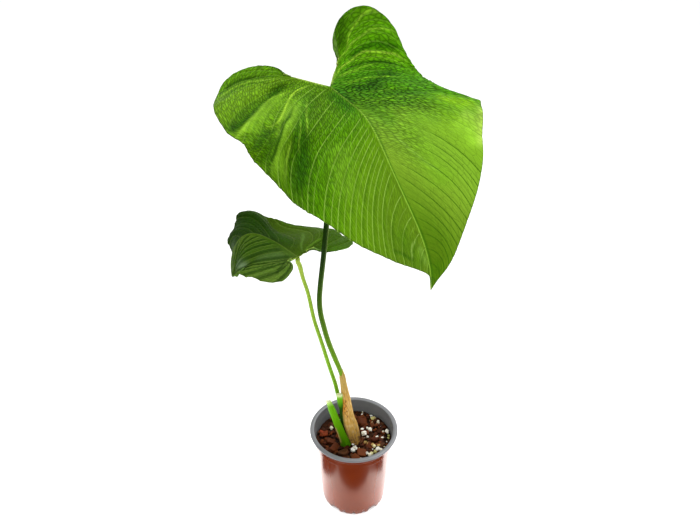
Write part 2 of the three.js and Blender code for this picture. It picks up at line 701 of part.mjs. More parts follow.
function material(color, roughness) {
  return new THREE.MeshStandardMaterial({ color, roughness, metalness: 0 });
}

// Assembly
const plant = new THREE.Group();

function addPiece(name, geometry, color, roughness) {
  const mesh = new THREE.Mesh(geometry, material(color, roughness));
  mesh.name = name;
  plant.add(mesh);
}

const largeStalk = stalkUnderBlade(LARGE_STALK, LARGE_LEAF);
const smallStalk = stalkUnderBlade(SMALL_STALK, SMALL_LEAF);
const standing = [SHEATH, smallStalk, CUT_STALK_FRONT, CUT_STALK_BACK];
const holes = standing.map((piece) => standOnStem(toSolid(stalkGeometry(piece, FIT_GAP)), -1));
const largeStalkRoom = toSolid(stalkGeometry(largeStalk, FIT_GAP));
const sheath = toSolid(stalkGeometry(SHEATH)).subtract(largeStalkRoom);

addPiece('pot', toGeometry(potSolid()), '#8a3a1c', 0.3);
addPiece('soil', toGeometry(soilSolid([stemSolid(FIT_GAP), ...holes])), '#3a1c10', 0.95);
addPiece('stem_with_roots', toGeometry(stemSolid()), '#8a7448', 0.8);
addPiece('leaf_stalk_large', toGeometry(standOnStem(toSolid(stalkGeometry(largeStalk)))), '#4c7a1c', 0.45);
addPiece('leaf_blade_large', bladeGeometry(LARGE_LEAF), '#5f9a20', 0.4);
addPiece('leaf_stalk_small', toGeometry(standOnStem(toSolid(stalkGeometry(smallStalk)))), '#93bf3f', 0.45);
addPiece('leaf_blade_small', bladeGeometry(SMALL_LEAF), '#2c560f', 0.4);
addPiece('dry_sheath', toGeometry(standOnStem(largestPiece(sheath))), '#c19a58', 0.85);
const [cutFront, cutBack] = [CUT_STALK_FRONT, CUT_STALK_BACK].map((stalk) => toSolid(stalkGeometry(stalk)));
addPiece('cut_stalk_front', toGeometry(standOnStem(cutFront)), '#4a9a10', 0.4);
addPiece('cut_stalk_back', toGeometry(standOnStem(cutBack)), '#6fa52a', 0.45);

export default plant;
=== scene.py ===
"""Potted Anthurium rugulosum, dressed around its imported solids.

Everything is worked out in millimetres in the part's own frame (+Z up, -Y to the front) and
turned to metres when a mesh is made.
"""

import math

import bmesh
import bpy
import numpy as np
from mathutils import Matrix, Vector, noise


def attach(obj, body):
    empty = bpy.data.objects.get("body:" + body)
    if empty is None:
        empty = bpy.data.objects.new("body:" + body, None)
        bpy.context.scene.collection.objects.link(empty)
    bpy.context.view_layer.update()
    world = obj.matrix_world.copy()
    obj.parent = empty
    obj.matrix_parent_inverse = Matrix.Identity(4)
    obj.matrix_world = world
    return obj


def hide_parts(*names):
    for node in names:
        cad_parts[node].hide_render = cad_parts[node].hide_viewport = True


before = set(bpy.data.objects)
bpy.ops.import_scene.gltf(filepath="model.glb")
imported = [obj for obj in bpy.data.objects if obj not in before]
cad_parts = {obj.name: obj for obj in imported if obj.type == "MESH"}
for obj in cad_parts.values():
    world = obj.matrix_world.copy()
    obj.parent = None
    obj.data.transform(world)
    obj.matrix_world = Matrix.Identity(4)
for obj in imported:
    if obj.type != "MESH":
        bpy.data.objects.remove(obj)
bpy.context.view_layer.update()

MM = 0.001


# Plain helpers
def to_linear(hex_colour):
    """The linear RGB of an sRGB hex colour."""
    channels = [int(hex_colour[i:i + 2], 16) / 255 for i in (1, 3, 5)]
    return np.array([c / 12.92 if c <= 0.04045 else ((c + 0.055) / 1.055) ** 2.4 for c in channels])


def rgba(hex_colour):
    return (*to_linear(hex_colour), 1.0)


def smoothstep(x, low, high):
    t = np.clip((np.asarray(x, float) - low) / (high - low), 0, 1)
    return t * t * (3 - 2 * t)


def mix(a, b, share):
    """Colours or numbers a and b mixed by a share for each point."""
    share = np.asarray(share, float)
    if np.ndim(a) or np.ndim(b):
        share = share[..., None]
    return a * (1 - share) + b * share


def profile(positions, values):
    """A smooth curve through values at rising positions that never overshoots them."""
    x, y = np.array(positions, float), np.array(values, float)
    widths = np.diff(x)
    slopes = np.diff(y) / widths
    tangents = np.concatenate([slopes[:1], np.zeros(len(y) - 2), slopes[-1:]])
    for i in range(1, len(y) - 1):
        if slopes[i - 1] * slopes[i] > 0:
            before = 2 * widths[i] + widths[i - 1]
            after = widths[i] + 2 * widths[i - 1]
            tangents[i] = (before + after) / (before / slopes[i - 1] + after / slopes[i])

    def at(place):
        place = np.asarray(place, float)
        i = np.searchsorted(x[1:-1], place, side="left")
        t = np.clip((place - x[i]) / widths[i], 0, 1)
        step = y[i + 1] - y[i]
        start, end = widths[i] * tangents[i], widths[i] * tangents[i + 1]
        cubic = start + end - 2 * step
        square = 3 * step - 2 * start - end
        return y[i] + t * (start + t * (square + t * cubic))

    return at


def unit(vectors):
    return vectors / np.maximum(np.linalg.norm(vectors, axis=-1, keepdims=True), 1e-12)


NOISE_GAIN = 1.6
SEED_STEPS = (17.3, 7.1, 3.7)


def noise_at(points, pitch, seed):
    """Smooth noise from about -1 to 1 whose grain is pitch mm wide, at rows of x, y, z."""
    shift = Vector([seed * step for step in SEED_STEPS])
    return np.array([noise.noise(Vector(p) / pitch + shift) for p in points]) * NOISE_GAIN


def colours_through(t, stops):
    """Colours through (place, hex) stops."""
    places = [s[0] for s in stops]
    values = np.array([to_linear(s[1]) for s in stops])
    return np.stack([np.interp(t, places, values[:, k]) for k in range(3)], axis=-1)


def add_node(tree, kind, inputs=None, output=0, **settings):
    """Adds a node with its settings and links, and gives one of its outputs. An input is a value
    or the output of another node, under its socket's name or number."""
    made = tree.nodes.new(kind)
    for name, value in settings.items():
        setattr(made, name, value)
    for name, value in (inputs or {}).items():
        if isinstance(value, bpy.types.NodeSocket):
            tree.links.new(value, made.inputs[name])
        else:
            made.inputs[name].default_value = value
    return made.outputs[output]


# Settings of nodes. In a mix of colours the factor is input 0, the colours are 6 and 7, and the
# result is output 2.
EASED = dict(interpolation_type="SMOOTHSTEP")
TIMES = dict(operation="MULTIPLY")
COLOURS = dict(output=2, data_type="RGBA")


def new_material(name, **constants):
    """A material with one Principled shader, whose constants are set on its own sockets."""
    material = bpy.data.materials.new(name)
    material.use_nodes = True
    tree = material.node_tree
    shader = tree.nodes["Principled BSDF"]
    for socket, value in constants.items():
        shader.inputs[socket.replace("_", " ")].default_value = value
    return material, tree, shader


def tint(tree, colour, factor, low, high):
    """colour made darker or lighter between low and high as the factor goes from 0 to 1."""
    shade = add_node(tree, "ShaderNodeMapRange", {"Value": factor, "To Min": low, "To Max": high})
    return add_node(tree, "ShaderNodeMix", {0: 1.0, 6: colour, 7: shade}, blend_type="MULTIPLY",
                    **COLOURS)


def grain(tree, pitch_mm, detail):
    """Noise in a piece's own space, with grains that are pitch_mm wide."""
    where = add_node(tree, "ShaderNodeTexCoord", output="Object")
    return add_node(tree, "ShaderNodeTexNoise", {
        "Vector": where, "Scale": 1 / (pitch_mm * MM), "Detail": detail})


def fibres_along(tree, scale, detail, roughness):
    """Noise that runs lengthwise over a stalk or sheath, in the steps of its skin_place."""
    where = add_node(tree, "ShaderNodeAttribute", output="Vector", attribute_name="skin_place")
    return add_node(tree, "ShaderNodeTexNoise", {
        "Vector": where, "Scale": scale, "Detail": detail, "Roughness": roughness})


def parts_of(tree, name):
    """The three values of a vector that is stored at the points of a mesh."""
    vector = add_node(tree, "ShaderNodeAttribute", output="Vector", attribute_name=name)
    split = add_node(tree, "ShaderNodeSeparateXYZ", {"Vector": vector}).node
    return [split.outputs[axis] for axis in "XYZ"]


def dress(tree, shader, colour, roughness=None, relief=None):
    """Links to the shader a material's colour, its roughness where that varies, and its relief,
    which is a height, how strong it is and how deep it is in mm."""
    tree.links.new(colour, shader.inputs["Base Color"])
    if roughness is not None:
        tree.links.new(roughness, shader.inputs["Roughness"])
    if relief is not None:
        height, strength, depth_mm = relief
        bump = add_node(tree, "ShaderNodeBump", {
            "Height": height, "Strength": strength, "Distance": depth_mm * MM})
        tree.links.new(bump, shader.inputs["Normal"])


def make_mesh(name, points, faces, pigment=None, vectors=None):
    """A smooth mesh object from points in mm, with a colour and vectors for each point."""
    mesh = bpy.data.meshes.new(name)
    mesh.from_pydata((np.asarray(points) * MM).tolist(), [], faces)
    if pigment is not None:
        layer = mesh.color_attributes.new("pigment", "FLOAT_COLOR", "POINT")
        values = np.concatenate([pigment, np.ones((len(pigment), 1))], axis=1)
        layer.data.foreach_set("color", values.astype(np.float32).ravel())
    for key, values in (vectors or {}).items():
        layer = mesh.attributes.new(key, "FLOAT_VECTOR", "POINT")
        layer.data.foreach_set("vector", np.asarray(values, np.float32).ravel())
    mesh.shade_smooth()
    made = bpy.data.objects.new(name, mesh)
    bpy.context.scene.collection.objects.link(made)
    return made


def face_outwards(made):
    """Drops the points that no face uses and turns all the faces outwards."""
    shape = bmesh.new()
    shape.from_mesh(made.data)
    loose = [v for v in shape.verts if not v.link_faces]
    bmesh.ops.delete(shape, geom=loose, context="VERTS")
    bmesh.ops.recalc_face_normals(shape, faces=shape.faces)
    shape.to_mesh(made.data)
    shape.free()


def place(made, material, slot, *nodes):
    """Gives a piece its material, and lets it ride with the plant and its pot. Its slot is not
    used.
    """
    if not made.data.materials:
        made.data.materials.append(material)
    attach(made, "root")
    if nodes:
        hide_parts(*nodes)


# Leaves: the same values as the part's own blades
BLADE_THICKNESS = 0.8
MARGIN_WAVE = 1.2
MARGIN_WAVE_PITCH = 8
MIDRIB_LENGTH = 205
LOBE_REACH = 70
FRAME_STEP = 2.5
RELIEF_FULL_AT = 45
# How side veins run on a half blade with a 205 mm midrib: where one leaves the ribs and where it
# meets the margin, both from the tip, and how it bows back, as a share of its length
EVEN_COURSE = ((0, 0, 0.25), (70, 50, 0.28), (112, 70, 0.1), (140, 96, 0.08), (158, 115, 0.1),
               (205, 155, 0.3), (215, 172, 0.28), (228, 225, 0.2), (236, 270, 0.28),
               (242, 330, 0.25), (246, 372, 0.1))
SWEPT_COURSE = ((0, 0, 0.4), (45, 21, 0.38), (75, 35, 0.15), (110, 52, 0.1), (140, 80, 0.33),
                (165, 107, 0.3), (176, 140, 0.28), (190, 180, 0.23), (205, 212, 0.15),
                (215, 234, 0.25), (228, 256, 0.36), (238, 282, 0.42), (242, 312, 0.36),
                (246, 372, 0.15))
LAST_SIDE_VEIN = 155
MARGIN_LENGTH = 372
NOTCH_RIB_LENGTH = 41
LARGE_LEAF = dict(
    size=1,
    attachment=(-21, 5, 505),
    stations=(-60, -20, 20, 70, 130, 205),
    heading=(36, 36, 43, 30, 38, 57),
    pitch=(36, 25, 15, 38, 48, 90),
    roll=(-15, -4, 0, 0, -4, -13),
    right=dict(
        outline=((0, 205), (7, 194), (22, 180), (40, 159), (64, 137), (83, 109), (95, 85),
                 (107, 65), (114, 57), (110, 48), (105, 35), (108, 18), (112, 1), (105, -17),
                 (94, -40), (72, -57), (52, -62), (37, -53), (32, -40), (28, -29)),
        droop=(-10, 5, 7, 0, -11, -35),
        curl=(0, 7, -2, -5, 1, 10),
        folds=((250, 8, -3, 0.1), (268, 10, 3, 0.1), (345, 22, -4, 0.3)),
        course=SWEPT_COURSE,
    ),
    left=dict(
        outline=((0, 205), (1, 191), (16, 177), (39, 160), (62, 137), (82, 109), (99, 78),
                 (107, 44), (107, 14), (102, -12), (86, -41), (71, -57), (50, -60), (35, -52),
                 (27, -42), (26, -32)),
        droop=(21, 10, 4, -1, -7, -16),
        curl=(-13, -13, -2, 5, 8, 8),
        folds=((139, 12, -10, 0.35), (172, 18, 3, 0), (231, 8, -6, 0.3), (262, 16, 2, 0),
               (60, 7, -1.5, 0.4)),
        course=EVEN_COURSE,
    ),
    relief=0.55,
    side_veins=15,
    lobe_veins=12,
    rib_depth=1.6,
    row_pitch=1.6,
    columns=110,
)
SMALL_LEAF = dict(
    size=115 / 205,
    attachment=(-54, -9, 343),
    stations=(-34, -11, 11, 39, 73, 115),
    heading=(-138, -133, -131, -108, -91, -73),
    pitch=(25, 7, -10, -18, 56, 96),
    roll=(11, 4, 0, -6, -5, -14),
    right=dict(
        outline=((0, 115), (6, 111), (15, 106), (29, 96), (44, 83), (57, 68), (65, 47),
                 (67, 28), (64, 9), (62, -10), (55, -20), (42, -28), (32, -26), (24, -20),
                 (19, -12), (17, -3)),
        droop=(-14, -19, -12, 2, 11, 11),
        curl=(26, 20, 18, 18, 10, 1),
        folds=((70, 10, -2, 0.3), (130, 12, 2, 0.3)),
        course=EVEN_COURSE,
    ),
    left=dict(
        outline=((0, 115), (5, 113), (15, 107), (27, 97), (41, 83), (54, 66), (62, 47),
                 (66, 28), (67, 10), (62, -7), (54, -20), (43, -28), (32, -28), (24, -20),
                 (21, -11), (21, -1)),
        droop=(5, -2, -5, 7, -14, 6),
        curl=(16, 27, 33, 23, 18, -46),
        folds=((25, 14, -5.6, 1), (66, 14, 3.3, 1), (110, 12, 2.9, 1), (137, 14, -6.6, 1),
               (178, 18, 3.3, 1)),
        course=EVEN_COURSE,
    ),
    relief=0.6,
    side_veins=10,
    lobe_veins=7,
    rib_depth=1,
    row_pitch=1.1,
    columns=76,
)


CURVE_STEPS = 600


def margin_points(outline, shares):
    """Points at shares of the length of a smooth curve through the outline."""
    knots = np.array(outline, float)
    last = len(knots) - 1
    t = np.linspace(0, last, CURVE_STEPS + 1)
    i = np.minimum(t.astype(int), last - 1)
    w = (t - i)[:, None]
    p0, p1 = knots[np.maximum(i - 1, 0)], knots[i]
    p2, p3 = knots[i + 1], knots[np.minimum(i + 2, last)]
    v0, v1 = (p2 - p0) / 2, (p3 - p1) / 2
    curve = ((2 * p1 - 2 * p2 + v0 + v1) * w ** 3 + (3 * p2 - 3 * p1 - 2 * v0 - v1) * w ** 2
             + v0 * w + p1)
    length = np.concatenate([[0], np.cumsum(np.linalg.norm(np.diff(curve, axis=0), axis=1))])
    return np.stack([np.interp(shares * length[-1], length, curve[:, k]) for k in (0, 1)], axis=-1)


def midrib_frame(leaf):
    """The midrib's place and directions at a distance from the stalk."""
    stations, size = leaf["stations"], leaf["size"]
    heading, pitch, roll = (
        profile(stations, np.radians(leaf[key])) for key in ("heading", "pitch", "roll"))

    def along(s):
        return np.stack([np.sin(heading(s)) * np.cos(pitch(s)),
                         -np.cos(heading(s)) * np.cos(pitch(s)), -np.sin(pitch(s))], axis=-1)

    step = FRAME_STEP * size
    behind = math.ceil(LOBE_REACH * size / step)
    ahead = math.ceil(MIDRIB_LENGTH * size / step) + 2
    forward = np.cumsum(along((np.arange(ahead) + 0.5) * step), axis=0) * step
    backward = -np.cumsum(along((-np.arange(behind) - 0.5) * step), axis=0) * step
    points = np.concatenate([backward[::-1], np.zeros((1, 3)), forward]) + leaf["attachment"]

    def at(s):
        i = np.clip(np.floor(s / step).astype(int), -behind, ahead - 1)
        share = (s / step - i)[..., None]
        point = points[i + behind] * (1 - share) + points[i + behind + 1] * share
        tangent = along(s)
        level = np.stack([np.cos(heading(s)), np.sin(heading(s)), np.zeros_like(s)], axis=-1)
        below = np.cross(level, tangent)
        turn = roll(s)[..., None]
        across = level * np.cos(turn) + below * np.sin(turn)
        return point, across, np.cross(across, tangent)

    return at


def bend_blade(leaf, half, side, out, s, height):
    """The bent places of points of the flat blade, raised along the blade's normal."""
    point, across, down = midrib_frame(leaf)(s)
    start = profile(leaf["stations"], np.radians(half["droop"]))(s)
    bend = profile(leaf["stations"], np.radians(half["curl"]) / 100)(s)
    angle = start + bend * out
    straight = np.abs(bend) < 1e-6
    safe = np.where(straight, 1, bend)
    reach = np.where(straight, out * np.cos(start), (np.sin(angle) - np.sin(start)) / safe)
    fall = np.where(straight, out * np.sin(start), (np.cos(start) - np.cos(angle)) / safe)
    return (point + across * (side * (reach + height * np.sin(angle)))[..., None]
            + down * (fall - height * np.cos(angle))[..., None])


# Where the net between wrinkles ends and their tops begin, in cells
WRINKLE_SLOPE = 0.5


def wrinkle_cells(along_mm, across_mm, cell_long, cell_wide, seed):
    """0 in the net between wrinkles, rising to about 1 in the middle of each."""
    flat = np.stack([along_mm.ravel() / cell_long, across_mm.ravel() / cell_wide], axis=-1)
    rise = np.empty(len(flat))
    for k, (x, y) in enumerate(flat):
        near = noise.voronoi(Vector((x, y, seed)))[0]
        rise[k] = near[1] - near[0]
    return np.clip(rise / WRINKLE_SLOPE, 0, 1).reshape(along_mm.shape)


def course_of(leaf, half, vein):
    """Where the veins of a half blade leave the ribs and meet the margin, and how they bow."""
    even = profile([0, leaf["side_veins"], leaf["side_veins"] + leaf["lobe_veins"]],
                   [0, LAST_SIDE_VEIN, MARGIN_LENGTH])(vein)
    root = profile([v[1] for v in EVEN_COURSE], [v[0] for v in EVEN_COURSE])(even)
    roots, margins, bows = zip(*half["course"])
    if half["course"] is EVEN_COURSE:
        return root, even, profile(margins, bows)(even)
    return root, profile(roots, margins)(root), profile(roots, bows)(root)


LEAST_ROWS = 8


def vein_rows(leaf):
    """The vein number of each row of the mesh: steps of row_pitch mm or less at the margin."""
    veins = np.arange(leaf["side_veins"] + leaf["lobe_veins"] + 1.0)
    widest = np.max([np.diff(course_of(leaf, leaf[half], veins)[1]) for half in ("left", "right")],
                    axis=0)
    steps = 2 * np.ceil(widest * leaf["size"] / leaf["row_pitch"] / 2)
    steps = np.maximum(LEAST_ROWS, steps).astype(int)
    rows = [k + np.arange(n) / n for k, n in enumerate(steps)]
    return np.append(np.concatenate(rows), len(steps))


# Relief of a blade, in mm of the flat leaf. How near to the ribs the first points lie, how far
# apart finer veins are, and the gaps over which each kind of vein fades out as veins crowd
FIRST_COLUMN = 0.8
FINER_SPACING = 6
FINER_GAPS = (1.5, 4)
SIDE_VEIN_GAPS = (1.5, 6)
# Where along a row, as a share, the veins have come up from the rib
VEINS_UP = 0.15
# Depth and half width of the grooves over the side veins, which widen with the gap between them,
# and the same of the finer veins
SIDE_VEIN_DEPTH = 1.6
SIDE_VEIN_WIDTH = 0.5
WIDER_WITH_GAP = 0.16
WIDEST_GAP = 12
FINER_DEPTH = 0.5
VEIN_WIDTH = 0.8
# The ridge over the midrib and the keel below the ribs: rise or half width, the lengths of rows
# over which each grows, and where along the margin the keel ends
RIDGE_RISE = 0.3
RIDGE_ROWS = (6, 40)
KEEL_WIDTH = 1.5
KEEL_ROWS = (4, 40)
KEEL_END = (230, 330)
# The underside's raised veins, and the share that the margin is thinner by, and how far in
VEIN_BELOW = 0.35
THIN_MARGIN = (0.35, 2.5)


def bell(distance, width):
    """1 on a line, fading to nothing over about twice the width beside it."""
    return np.exp(-(distance / width) ** 2)


ROW_STEPS = 40


def vein_grid(leaf, half):
    """The flat grid of a half blade: a row for each step from vein to vein, each a curve that
    leaves a rib and bows to the margin. Gives the rows' lengths too."""
    columns = leaf["columns"]
    vein = vein_rows(leaf)
    root, distance, bow = course_of(leaf, half, vein)
    distance[-1] = MARGIN_LENGTH
    rib_end = np.array(half["outline"][-1], float)
    on_midrib = np.stack([np.zeros_like(root), (MIDRIB_LENGTH - root) * leaf["size"]], axis=-1)
    on_notch = rib_end * ((root - MIDRIB_LENGTH) / NOTCH_RIB_LENGTH)[:, None]
    start = np.where((root <= MIDRIB_LENGTH)[:, None], on_midrib, on_notch)
    end = margin_points(half["outline"], distance / MARGIN_LENGTH)
    chord = end - start
    sideways = np.stack([chord[:, 1], -chord[:, 0]], axis=-1)
    middle = start + chord / 2 + sideways * bow[:, None]

    def row_at(t):
        return (1 - t) ** 2 * start + 2 * t * (1 - t) * middle + t ** 2 * end

    curve = row_at(np.linspace(0, 1, ROW_STEPS)[:, None, None])
    row_length = np.linalg.norm(np.diff(curve, axis=0), axis=-1).sum(0)
    near = np.minimum(FIRST_COLUMN / np.maximum(row_length, 1), 0.5 / columns)[:, None]
    even = (np.arange(columns - 1) / (columns - 2))[None, :]
    share = np.concatenate([np.zeros((len(vein), 1)), near + (1 - near) * even], axis=1)
    flat = row_at(share.T[..., None]).swapaxes(0, 1)
    return vein, distance, share, flat, row_length[:, None]


def half_blade(leaf, half, side, wrinkles_of):
    """The grid of one half blade: its flat and bent places and how it is veined."""
    columns = leaf["columns"]
    vein, distance, share, flat, row_length = vein_grid(leaf, half)
    along = share * row_length
    between = np.gradient(flat, vein, axis=0)
    direction = unit(np.gradient(flat, axis=1) + 1e-9)
    gap = np.abs(between[..., 0] * direction[..., 1] - between[..., 1] * direction[..., 0])
    across = np.concatenate([[0], np.cumsum(np.diff(vein) * gap[1:, columns // 2])])
    vein, distance, across = (
        np.broadcast_to(v[:, None], share.shape) for v in (vein, distance, across))
    from_vein = vein - np.round(vein)
    shape = dict(distance=distance, share=share, along=along, flat=flat, gap=gap, side=side,
                 from_vein=from_vein * gap, to_vein=np.abs(from_vein) * gap, across=across,
                 to_margin=(1 - share) * row_length)
    # finer veins lie evenly between two side veins, more of them where those spread wide
    finer = np.maximum(2, np.round(np.max(gap[:, columns // 2:], axis=1) / FINER_SPACING))[:, None]
    finer = np.where(np.abs(from_vein) < 1e-9, 2, finer)
    order = (vein - np.floor(vein)) * finer
    shape["to_finer"] = np.abs(order - np.round(order)) * gap / finer
    shape["finer_gap"] = gap / finer
    wrinkles_of(shape)

    height = np.zeros_like(share)
    for at, width, rise, at_margin in half["folds"]:
        reach = share * (1 - (1 - at_margin) * share ** 4)
        height += rise * reach * bell(distance - at, width)
    height += MARGIN_WAVE * leaf["size"] * share ** 2 * np.sin(distance / MARGIN_WAVE_PITCH)
    fade = smoothstep(share, 0, VEINS_UP)
    veined = smoothstep(gap, *SIDE_VEIN_GAPS)
    groove = WIDER_WITH_GAP * np.minimum(gap, WIDEST_GAP) + SIDE_VEIN_WIDTH
    relief = shape["quilt"] * (1 - SIDE_VEIN_DEPTH * bell(shape["to_vein"], groove)) * veined
    finer_veins = -FINER_DEPTH * bell(shape["to_finer"], VEIN_WIDTH)
    relief = relief + finer_veins * smoothstep(shape["finer_gap"], *FINER_GAPS)
    relief = relief + shape["roughness"] * (shape["cells"] - 0.5)
    height += leaf["relief"] * relief * fade
    height += shape["creases"]
    height *= np.minimum(1, row_length / RELIEF_FULL_AT)
    out = np.maximum(flat[..., 0], 0)
    ridge = RIDGE_RISE * leaf["size"] ** 0.5 * bell(out, VEIN_WIDTH) * (flat[..., 1] > 0)
    height += ridge * smoothstep(row_length, *RIDGE_ROWS)
    shape["points"] = bend_blade(leaf, half, side, flat[..., 0], flat[..., 1], height)

    thinned, thin_width = THIN_MARGIN
    below = 1 - thinned * (1 - smoothstep(shape["to_margin"], 0, thin_width))
    keel = leaf["rib_depth"] * bell(along, KEEL_WIDTH)
    keel *= smoothstep(row_length, *KEEL_ROWS) * (1 - smoothstep(distance, *KEEL_END))
    ribs_below = VEIN_BELOW * fade * bell(shape["to_vein"], VEIN_WIDTH) * veined
    shape["below"] = BLADE_THICKNESS * below + keel + ribs_below
    return shape


STROKE_STEPS = 14
STROKE_ENDS = (0.15, 5)


def stroke(flat, points, width):
    """How near each flat point is to a smooth line through points: 1 on it, fading over width.
    The line fades out at its two ends."""
    line = margin_points(points, np.linspace(0, 1, STROKE_STEPS * len(points)))
    nearest = np.full(flat.shape[:-1], np.inf)
    where = np.zeros(flat.shape[:-1])
    for k, spot in enumerate(line):
        gone = ((flat - spot) ** 2).sum(-1)
        closer = gone < nearest
        nearest[closer] = gone[closer]
        where[closer] = k / (len(line) - 1)
    at_end, growth = STROKE_ENDS
    ends = np.minimum(1, growth * np.minimum(where, 1 - where) + at_end)
    return np.exp(-nearest / width ** 2) * ends


# What the skin of a blade needs to know at each point: the place in the net of wrinkles, in
# cells, and how strong a coarser net is; how far the next side vein and finer vein are, in mm,
# and how strong the finer ones are; and how strong the fine net, the pale veins and the painted
# shade in the vein grooves are
SKIN_VALUES = ("net_along", "net_across", "coarse_net", "to_vein", "to_finer", "finer_veins",
               "fine_net", "pale_veins", "dark_veins")


def quads_of(ids, side):
    """The quads between the rows of a grid of points, turned the same way on both halves."""
    quads = np.stack([ids[:-1, :-1], ids[:-1, 1:], ids[1:, 1:], ids[1:, :-1]], axis=-1)
    return quads.reshape(-1, 4)[:, ::side]


def true_rings(polygons):
    """Polygons without the corners that repeat, and without those that have no area left."""
    rings = []
    for polygon in polygons:
        ring = [int(p) for k, p in enumerate(polygon) if p != polygon[k - 1]]
        if len(set(ring)) > 2:
            rings.append(ring)
    return rings


def point_normals(points, rings):
    """The direction out of the upper face at each point, from the faces round it."""
    normals = np.zeros_like(points)
    for ring in rings:
        a, b, c = points[ring[:3]]
        normals[ring] += np.cross(b - a, c - a)
    return unit(normals)


def build_blade(name, leaf, paint, wrinkles_of):
    """A closed blade: a finely wrinkled upper face and a coarser underside with its ribs."""
    points, below, colours, skins, grids = [], [], [], [], []
    count = 0
    attach_row = int(np.searchsorted(vein_rows(leaf), leaf["side_veins"] - 1e-6))
    for side, key in ((1, "right"), (-1, "left")):
        shape = half_blade(leaf, leaf[key], side, wrinkles_of)
        rows, columns = shape["share"].shape
        ids = np.arange(rows * columns).reshape(rows, columns) + count
        count += rows * columns
        points.append(shape["points"].reshape(-1, 3))
        below.append(shape["below"].ravel())
        colours.append(np.stack(paint(shape), axis=-2).reshape(-1, 2, 3))
        skin = np.stack([shape[value] for value in SKIN_VALUES], axis=-1)
        skins.append(skin.reshape(-1, len(SKIN_VALUES)))
        # the tip and the end of the notch are one point each, and the halves share the midrib
        ids[0, :] = ids[0, 0]
        ids[-1, :] = ids[-1, 0]
        if side < 0:
            ids[:attach_row + 1, 0] = grids[0][:attach_row + 1, 0]
            ids[0, :] = grids[0][0, 0]
        grids.append(ids)
    points, below, colours, skins = (
        np.concatenate(rows) for rows in (points, below, colours, skins))
    faces = true_rings(np.concatenate([quads_of(grids[0], 1), quads_of(grids[1], -1)]))
    normals = point_normals(points, faces)

    under_of, under_from = {}, []

    def under(p):
        """The point below p on the underside, which is added the first time."""
        if p not in under_of:
            under_of[p] = count + len(under_from)
            under_from.append(p)
        return under_of[p]

    last = leaf["columns"] - 1
    kept_columns = [0, 1, 2, 4, *range(6, last, 2), last]
    for ids, side in zip(grids, (1, -1)):
        for ring in true_rings(quads_of(ids[::2][:, kept_columns], -side)):
            faces.append([under(p) for p in ring])
        for line, first, turn in ((ids[:, -1], 0, side), (ids[:, 0], attach_row, -side)):
            for i in range(first, len(line) - 1, 2):
                a, b, c = line[i:i + 3].tolist()
                for ring in true_rings([[a, b, c, under(c), under(a)]]):
                    faces.append(ring if turn < 0 else ring[::-1])
    under_points = points[under_from] - normals[under_from] * below[under_from, None]
    skins = np.concatenate([skins, skins[under_from]])
    made = make_mesh(
        name, np.concatenate([points, under_points]), faces,
        np.concatenate([colours[:, 0], colours[under_from, 1]]),
        {"net_place": skins[:, 0:3], "vein_place": skins[:, 3:6], "strengths": skins[:, 6:9]})
    face_outwards(made)
    return made


# Leaf pigments, in sRGB as the eye sees them in daylight. The greens along each margin also carry
# painted light and painted shade: lighter where a stretch of blade faces the light and darker
# where it lies in shade.
LEFT_GREENS = ((0, "#558207"), (25, "#698e1b"), (55, "#618915"), (95, "#679a0f"),
               (125, "#569303"), (150, "#538301"), (200, "#609405"), (260, "#6f9f14"),
               (300, "#5d930b"), (372, "#5d9907"))
RIGHT_GREENS = ((0, "#4c6e06"), (30, "#5e8813"), (60, "#7ba427"), (95, "#7eae2a"),
                (130, "#71a215"), (160, "#5e9a02"), (190, "#519701"), (225, "#4e9602"),
                (255, "#62ac06"), (300, "#5a9808"), (372, "#477c06"))
LARGE_VEIN = to_linear("#a0ca52")
# painted shade in and beside the veins of the large leaf
LARGE_VEIN_SHADE = to_linear("#3c6d06")
LARGE_UNDERSIDE = to_linear("#587f2c")
SMALL_FAR_GREENS = ((0, "#315808"), (60, "#1c3700"), (110, "#1c3600"), (150, "#405b0e"),
                    (200, "#385607"), (260, "#3c5f0c"), (372, "#48700c"))
SMALL_NEAR_GREENS = ((0, "#5e792c"), (60, "#435f0e"), (110, "#355506"), (170, "#4b661b"),
                     (230, "#537321"), (290, "#668430"), (372, "#4f7a1c"))
SMALL_VEIN = to_linear("#7f9a45")
# painted shade in the grooves along the small leaf's veins
SMALL_GROOVE_SHADE = to_linear("#1f3d05")
SMALL_UNDERSIDE = to_linear("#66893c")
RIB_YELLOW = to_linear("#b9d45f")
RIB_GREEN = to_linear("#9fd046")
MARGIN_BROWN = to_linear("#4a5a14")
